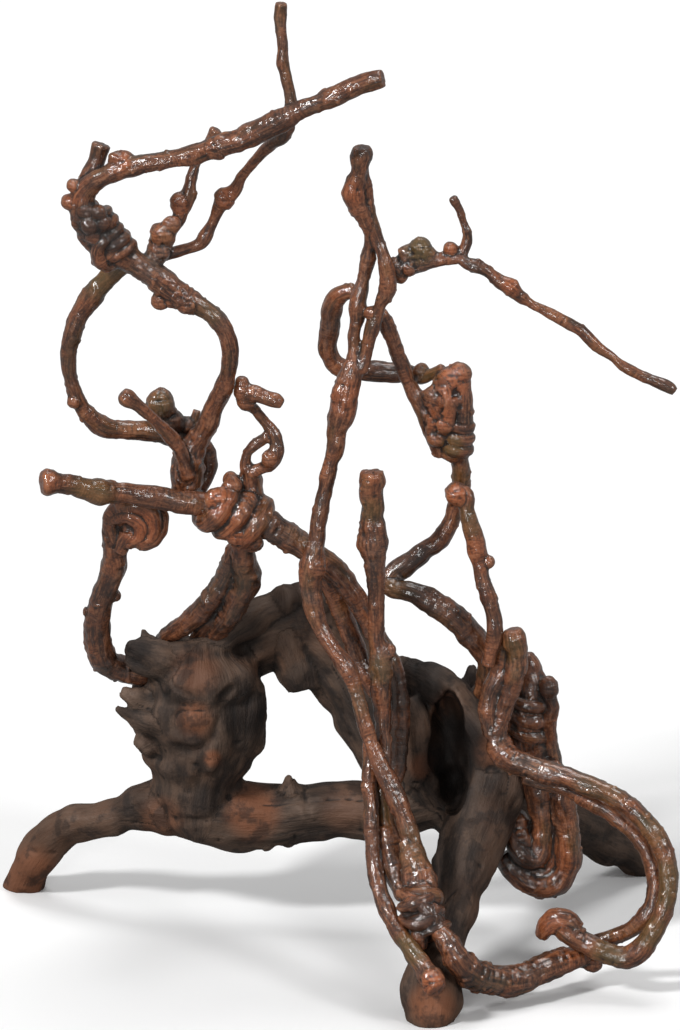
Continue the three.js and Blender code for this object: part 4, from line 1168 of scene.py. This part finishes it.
# %% Reaching twig
reaching_twig = [
    limb([[194.5, 132, -1, 3.8], [198, 134.5, 1, 5.6], [200, 134, 2, 6.2], [205, 132, 2, 6],
      [210, 131, 1, 5.2], [215, 130.3, 0, 4], [220, 130, -1, 3.4], [225, 130, -2, 2.8], [230, 130, -3, 2.6],
      [233, 132, -4, 3.3], [238, 133.3, -5, 4], [242, 135, -6, 3.5], [245.5, 137.5, -6.5, 3],
      [250, 141.3, -7.5, 3.3], [255, 144, -8.5, 4.8], [259.5, 148, -9, 3.6], [265, 152, -10, 2.3],
      [270, 154.5, -10.5, 2.5], [280, 160, -12, 2.7], [290, 165.5, -13, 2.9], [295, 170.5, -14, 2.8],
      [300, 175, -15, 2.6], [305, 178, -15.5, 2.5], [310, 182.5, -16.5, 2.5], [320, 188, -18, 2.8],
      [325, 190, -19, 2.6], [330, 192, -20, 2.9], [334, 193.8, -21, 2.9], [337, 196, -22, 2.2]],
      seed=71),
    limb([[230, 130.5, -2.5, 2.6], [232, 125, 0, 2.6], [233.5, 120, 1, 2.5], [233.3, 116, 1, 2.4],
      [231.3, 111, 2, 2.2], [229.5, 105, 2.5, 2.2], [227, 101, 3, 2.6], [226, 99, 3, 2.4]], seed=72),
    *lumps(
        [210, 124.5, 1, 5.4], [205, 127.5, 1, 5, [1.2, 1, 1]], [210, 126, 1, 6, [1.1, 1, 1]],
        [207, 129, 1, 5.6, [1.5, 1, 1]], [214, 128, 0, 4.2], [204, 134, 0, 4.8], [200, 138.5, 0, 3.6],
        [225, 125, -1, 3.6],
    ),
]
grow_root("reaching_twig", reaching_twig, tints={
    "olive": [(210, 125, 10, 1)],
    "dark": [(238, 134, 12, 0.6), (228, 102, 8, 0.7), (330, 192, 12, 0.5)],
    "orange": [(255, 144, 6, 0.8), (225, 125, 4, 0.8)],
})

# %% [markdown]
# ## Noose strand
#
# A loop behind the tall strand ends in a fist of a knot, with three muscles bound by wraps. From its lower
# side the strand runs down, turns round the upright stick and comes back to the stump.

# %% Noose strand
noose_strand = [
    limb([[190.5, 156, 2, 2.8], [193, 161, 4, 3.6], [195.5, 167.5, 5.5, 3.8], [198.5, 176, 6.5, 3.8],
      [203, 188, 7, 3.8], [207, 197, 6.5, 4], [212, 206, 6, 4.6], [216, 215, 5.5, 5], [219, 222, 5.5, 4.6],
      [220.5, 228, 5.5, 3.2]], seed=81),
    limb([[178, 146, 13, 3.5], [174, 146, 15, 4.2], [169, 148.5, 17, 4.8], [166, 154, 18.5, 5.2],
      [165.2, 162, 19.5, 5.1], [164, 170, 20, 4.6], [164, 176, 20, 4.5], [167, 181.5, 20, 4.4],
      [172, 184.5, 20, 4.5], [180, 185.5, 20, 4.5], [188, 185.8, 20, 5], [196, 186.5, 19, 5.2],
      [204, 186.5, 17, 4.4], [210, 189, 14, 3.6], [216, 187, 10, 3], [222, 184.5, 7, 3]], seed=82),
    lump(210.5, 187, 14, 4.5, [1, 0.7, 1.3]),
    # knotted head: three columns, bound by wraps
    lump(226, 191, 4, 7.4, [1, 0.9, 1.15]),
    limb([[229, 190, 3, 6], [231, 198, 2, 5.2], [231, 205, 2, 5], [231, 211, 2, 5]], seed=83),
    limb([[214, 194, 4, 3.4], [218, 201, 2, 5.4], [221, 209, 1, 5.2], [224, 219, 3, 5]], seed=84),
    limb([[222, 193, -1, 4.4], [224, 201, -2, 5.2], [224, 209, -2, 4.2], [221, 216, -1, 4]], seed=85),
    *lumps(
        [223.5, 199, 3, 9.4, [0.95, 0.72, 1.5]], [218.5, 212, 3, 7.2, [0.95, 0.8, 1.35]],
        [225, 190, 2, 6.4], [217, 198, 2, 5.4], [230, 187, 2, 5.6], [222, 213, -3, 4.2, [1.1, 0.8, 1]],
        [218, 219, 1, 4.6],
    ),
    limb(winding([229, 209, 3.5], [229, 226, 4.5], turns=3, reach=5.4, radius=3.2, begin=90),
      seed=86),
    lump(226, 227, 3, 4.5),
    limb([[229, 222, 5, 5], [230, 230, 6, 4.8], [230.5, 237, 7, 4.7], [230, 246, 8, 4.4],
      [227.5, 253, 8.5, 3.8], [225.5, 261, 8.5, 4.1], [222.5, 266, 8, 4.3], [218.5, 271.5, 7.5, 4.8],
      [212.5, 275, 7, 5.2], [206, 280.5, 6, 5.4], [199.5, 285, 5, 5.2], [194, 289.5, 3, 4.8],
      [191.5, 292, 1, 4]], seed=87),
    limb([[192, 291, 2, 4.5], [197.5, 294.5, -2, 5.2], [205, 296, -4, 5.3], [212.5, 299, -5, 5.7],
      [220, 303.5, -5.5, 6], [227.5, 309, -5, 6.4], [234, 316, -4, 6.4], [239, 322, -3, 5.8],
      [243, 330, 0, 5], [243, 340, 6, 4.6], [240, 350, 12, 4]], seed=88),
]
grow_root("noose_strand", noose_strand, tints={
    "orange": [(226, 192, 13, 0.9), (220, 208, 10, 0.6), (170, 148, 8, 0.6)],
    "olive": [(226, 223, 8, 0.9), (214, 187, 8, 0.7), (229, 240, 10, 0.6), (200, 294, 12, 0.6)],
    "dark": [
        (190, 186, 16, 0.6), (165, 164, 12, 0.5), (206, 280, 16, 0.85), (212, 299, 16, 0.8),
        (232, 314, 16, 0.7), (232, 213, 7, 0.5),
    ],
})

# %% [markdown]
# ## Right riser
#
# A thin root with nodules hangs from the smooth round burl under the noose and runs behind the hoop.

# %% Right riser
right_riser = [
    limb([[231, 244.5, -8, 3.4], [234, 248, -9, 4], [233.5, 255, -10, 4], [234.5, 260, -11, 4.4],
      [237.5, 270, -12.5, 4.4], [238.8, 276, -13.5, 4.6], [239.5, 281, -14.5, 4], [241.5, 290, -16, 4.2],
      [244.5, 299, -17.5, 4], [246.8, 308, -19, 3.8], [247.5, 315, -20, 4], [247, 320, -20, 3.8],
      [245.5, 326, -20.5, 3.6], [244, 333, -21, 3.5]], seed=91),
    *lumps([228.5, 247.5, -8, 6.4], [244.5, 281, -15, 3]),
]
grow_root("right_riser", right_riser, tints={
    "olive": [(235, 260, 12, 0.6)],
    "orange": [(228.5, 247.5, 8, 1), (238, 276, 10, 0.5)],
    "dark": [(246, 312, 14, 0.5)],
})

# %% [markdown]
# ## Upright stick
#
# A thick straight stick stands in front of the bridge, with a flat cut top and flaking bark.

# %% Upright stick
upright_stick = [
    limb([[186, 235.5, -25, 6.2], [186, 238.5, -25, 6.5], [185.7, 245, -25, 5.8], [186.5, 252.5, -25, 5.4],
      [186, 257.5, -25, 5.3], [186.3, 263.5, -25, 7.2], [186.3, 270, -25, 7.4], [186.5, 275, -25, 6.5],
      [187.3, 280, -25, 5.2], [188, 290, -25, 4.5], [188, 300, -25, 4], [188.2, 310, -25, 4.2],
      [188.5, 320, -25, 4.2], [190, 328, -25.5, 5.2], [190.5, 335, -26, 5.5], [190.5, 345, -27, 5],
      [191, 355, -28, 4.5], [191.5, 365, -30, 4.2], [192, 373, -32.5, 3.8], [192, 381, -35.5, 4],
      [190.5, 390, -38, 4.2], [191.5, 400, -42, 4.4], [192.5, 410, -47, 4.6], [194, 420, -52, 5.4],
      [196, 430, -57, 6], [200, 441, -64, 6.2], [204, 448, -70, 5.5]], seed=101),
    lump(194.5, 325, -25, 3.4),
]
grow_root("upright_stick", upright_stick, tints={
    "olive": [(186, 255, 9, 0.6), (190, 335, 10, 0.6), (194, 400, 18, 0.6)],
    "dark": [(188, 292, 16, 0.3), (198, 430, 14, 0.5)],
    "orange": [(186, 238, 6, 0.6)],
})

# %% [markdown]
# ## Club strand
#
# A striped root with a flat cut top bends out into the big hoop on the right and ends in a mushroom head.

# %% Club strand
club_strand = [
    limb([[256.5, 314.5, -20, 4.6], [257.5, 320, -20, 5.5], [258.5, 326, -20, 5.6], [258.5, 333, -20, 5],
      [256.5, 341, -19.5, 4.6], [253.5, 350, -19, 4.4], [250.5, 359, -19.5, 4.4], [248.5, 366, -20, 5],
      [250, 374, -22, 6.4], [256, 380.5, -26, 6.5], [264, 383, -29, 6], [273, 386.5, -32, 5.5],
      [283, 389, -36, 5.5], [293, 392.5, -39.5, 5.2], [304, 397, -43.5, 5], [315, 403.5, -47.5, 5],
      [323.5, 412, -51.5, 5], [330, 421.5, -55.5, 5], [333.5, 432, -59.5, 5], [334.5, 442, -63, 5],
      [333, 452, -66, 5], [329.5, 461, -68, 5.2], [324.5, 469, -69, 5.4], [319, 476, -69, 5.5],
      [312, 479, -68, 5.6], [304, 477, -66.5, 5.6], [296, 473, -65, 5.6], [289, 469.5, -64, 5.6],
      [283, 465, -63, 6], [279, 462.5, -62, 5]], seed=111),
    limb([[252, 319, -17, 3.8], [251.5, 329, -16, 4.4], [249.5, 338, -16, 5], [246, 346, -17, 5.2],
      [244.5, 356, -18, 5], [246, 368, -20, 5]], seed=112),
    # mushroom head that ends the strand
    limb([[270.5, 469, -61, 3.6], [273, 464, -61.5, 5.2], [278, 460.5, -62, 6.2], [284, 461, -62.5, 6],
      [289, 465, -63, 4.2]], seed=113),
]
grow_root("club_strand", club_strand, tints={
    "olive": [
        (256, 325, 9, 0.6), (300, 394, 18, 0.5), (326, 415, 14, 0.6), (335, 442, 18, 0.9),
        (326, 466, 12, 0.8), (304, 477, 12, 0.8),
    ],
    "dark": [(251, 350, 12, 0.5), (247, 368, 9, 0.5)],
    "orange": [(276, 463, 10, 0.6)],
})

# %% [markdown]
# ## Front loop
#
# The inner strand of the hoop follows the outer one, swells under the mushroom head and runs to the foot.

# %% Front loop
front_loop = [
    limb([[262, 388.5, -24, 3.5], [272, 391, -26, 4.2], [282, 394, -29, 4.2], [292, 399, -33, 4.2],
      [302, 404.5, -37, 4.2], [311, 411.5, -41, 4.3], [319, 418.5, -45, 4.3], [324.5, 428, -49, 4.3],
      [327.5, 438, -53, 4.3], [327.5, 448, -56, 4.3], [324, 457, -58, 4.3], [317, 464, -57.5, 4.2],
      [309, 468, -55, 4.2], [301, 471, -53, 4.2], [295, 475.5, -52.5, 5], [287.5, 479, -57, 6.2],
      [279, 481.5, -63, 7], [271, 484.5, -69, 7], [264, 488, -74, 7], [256.5, 490, -78, 7.4],
      [250, 490.5, -82, 7.6], [242.5, 489, -87, 7.8], [235, 486, -93, 7.6], [229, 480, -98, 6.8],
      [224.5, 472.5, -96, 6], [219, 465, -92, 5]], seed=121),
    lump(296, 481.5, -54, 5.2),
]
grow_root("front_loop", front_loop, tints={
    "dark": [(320, 420, 14, 0.4), (270, 486, 14, 0.3), (236, 488, 12, 0.4)],
    "orange": [(288, 478, 8, 0.4)],
})

# %% [markdown]
# ## Coil strand
#
# Behind the club strand hangs a root that is wrapped like a rope and bends back up at its end.

# %% Coil strand
coil_strand = [
    limb([[262, 327, 6, 4.6], [264.5, 334, 5, 6.8], [265, 344, 4, 8.6], [264, 354, 3, 9],
      [263.5, 364, 3, 9.6], [265, 374, 2, 9.6], [268, 384, 1, 8.6], [270, 394, 1, 7], [271, 404, 1, 6],
      [271.5, 414, 1, 5.5], [271, 424, 0.5, 5.6], [268, 430, -1, 5.6], [262, 429, -3, 5.4],
      [257, 422, -1, 4.6], [254, 413, 4, 4.2]], seed=131),
    limb([[276, 396, 2, 4], [277, 412, 2, 4.4], [278, 426, 2, 4.6], [273, 436, 2, 4.8], [264, 436, 3, 4.6]],
      seed=135),
    *lumps([261, 420, 2, 6.4], [259, 411, 5, 6], [266, 424, 3, 5]),
    limb([[275, 382, 0, 6], [280, 392, -1, 5.6], [282, 402, -1, 6], [283.5, 412, -1, 6.2],
      [284.5, 424, -1, 6.5], [284, 433, 0, 7], [279, 441, 0, 7.5], [271.5, 443.5, 1, 7],
      [263.5, 440.5, 2, 6.8], [256.5, 434.5, 3, 6], [251, 428, 4, 5]], seed=132),
    limb(winding([264.5, 345, 3], [264.5, 372, 2.5], turns=3.5, reach=7.4, radius=3.4),
      seed=133),
    lump(274.5, 344, -3, 5.4, [0.9, 1, 1.2]),
    limb([[279, 388, 0, 4.4], [276.5, 376, 0, 3.8], [275, 362, -2, 3.4], [276.5, 353, -3, 3.2],
      [275, 347, -3, 3.2], [275.5, 341, -3, 3.8]], seed=134),
]
grow_root("coil_strand", coil_strand, tints={
    "dark": [(275, 346, 9, 0.9), (264, 350, 22, 0.5), (258, 430, 14, 0.8), (264, 400, 14, 0.6)],
    "orange": [(281, 430, 10, 0.4)],
})

# %% [markdown]
# ## Foot strand
#
# A thin root runs down beside the knot to a round knob at the front foot.

# %% Foot strand
foot_strand = [
    limb([[184.5, 386, -43, 3.2], [184.5, 393, -46, 4], [185.5, 400, -49, 4], [185.5, 410, -53, 4],
      [186, 420, -57, 4], [187, 432, -62, 4], [189, 442, -68, 4], [192, 451, -75, 4], [195.5, 459, -83, 4],
      [200, 467, -91, 4.2], [206, 475.5, -100, 4.4], [211, 482.5, -106, 4.8], [216, 490.5, -112, 6],
      [218.5, 495, -116, 5.2]], seed=141),
    limb([[184.5, 390, -45, 3.8], [185, 380, -40, 3.5], [184.5, 370, -36, 3]], seed=142),
    lump(216, 489.5, -112, 6.6),
]
grow_root("foot_strand", foot_strand, tints={
    "olive": [(205, 474, 12, 0.9)],
    "dark": [(188, 420, 22, 0.5)],
    "orange": [(216, 491, 8, 1)],
})

# %% [markdown]
# ## Floor and light
#
# The root stands on a plain pale floor that runs far past the camera's view, so there is no horizon. A dim
# sky from all round fills the shade, and four soft lamps from far off light the floor evenly and make
# small glints on the varnish. One of them is low in front, so that upright roots catch a glint too. Light
# that bounces off the floor is kept dim, or it would wash out the underside of the stump.

# %% Studio
FLOOR_SIZE = 80.0
FLOOR_SEEN, FLOOR_BOUNCE = (0.93, 0.93, 0.93, 1), (0.22, 0.22, 0.22, 1)
SKY = 0.28
# Name, where it shines from, how many degrees wide it looks, and its power
LAMPS = (
    ("lamp_left", (-0.75, -0.7, 0.9), 8, 2.0),
    ("lamp_right", (0.9, -0.75, 0.8), 12, 0.8),
    ("lamp_top", (0.1, 0.25, 1.0), 25, 0.9),
    ("lamp_front", (-0.3, -1.0, 0.22), 8, 0.6),
)


def soft_sun(name, direction, spread_degrees, power):
    data = bpy.data.lights.new(name, "SUN")
    data.energy = power
    data.angle = math.radians(spread_degrees)
    lamp = bpy.data.objects.new(name, data)
    lamp.rotation_euler = Vector(direction).to_track_quat("Z", "Y").to_euler()
    bpy.context.scene.collection.objects.link(lamp)


def studio():
    bpy.ops.object.select_all(action="DESELECT")
    bpy.ops.mesh.primitive_plane_add(size=FLOOR_SIZE, location=(0, 0, 0))
    floor = bpy.context.object
    floor.name = "studio_floor"
    material, r, shader = new_material("pale_floor")
    seen = r.node("ShaderNodeLightPath").outputs["Is Camera Ray"]
    r.link(r.blend(seen, FLOOR_BOUNCE, FLOOR_SEEN), shader.inputs["Base Color"])
    settle(shader, {"Roughness": 0.9, "Specular IOR Level": 0.1})
    floor.data.materials.append(material)
    world = bpy.data.worlds.new("soft_sky")
    world.use_nodes = True
    settle(world.node_tree.nodes["Background"], {"Color": (1, 1, 1, 1), "Strength": SKY})
    bpy.context.scene.world = world
    for lamp in LAMPS:
        soft_sun(*lamp)
    bpy.context.scene.view_settings.view_transform = "Standard"


studio()

# %% [markdown]
# ## Camera
#
# The root was seen from slightly above with almost no perspective, so the camera stands far off with a long
# lens, tilted down by the same 20 degrees as the sheet.

# %% Camera
DISTANCE = 16.0
VIEW_HEIGHT = 0.515
SENSOR = 36.0
FAR_CLIP = 100.0
VIEW_MIDDLE = (170.0, 257.5, 0.0)


def camera():
    data = bpy.data.cameras.new("camera")
    data.sensor_width = SENSOR
    data.lens = SENSOR * DISTANCE / VIEW_HEIGHT
    data.clip_end = FAR_CLIP
    target = Vector(place(*VIEW_MIDDLE) * MM)
    eye = bpy.data.objects.new("camera", data)
    eye.location = target + DISTANCE * Vector((0, -math.cos(TILT), math.sin(TILT)))
    eye.rotation_euler = (math.pi / 2 - TILT, 0, 0)
    bpy.context.scene.collection.objects.link(eye)
    bpy.context.scene.camera = eye
    return eye


eye = camera()
print("camera at", [round(v, 3) for v in eye.location], "lens", round(eye.data.lens))
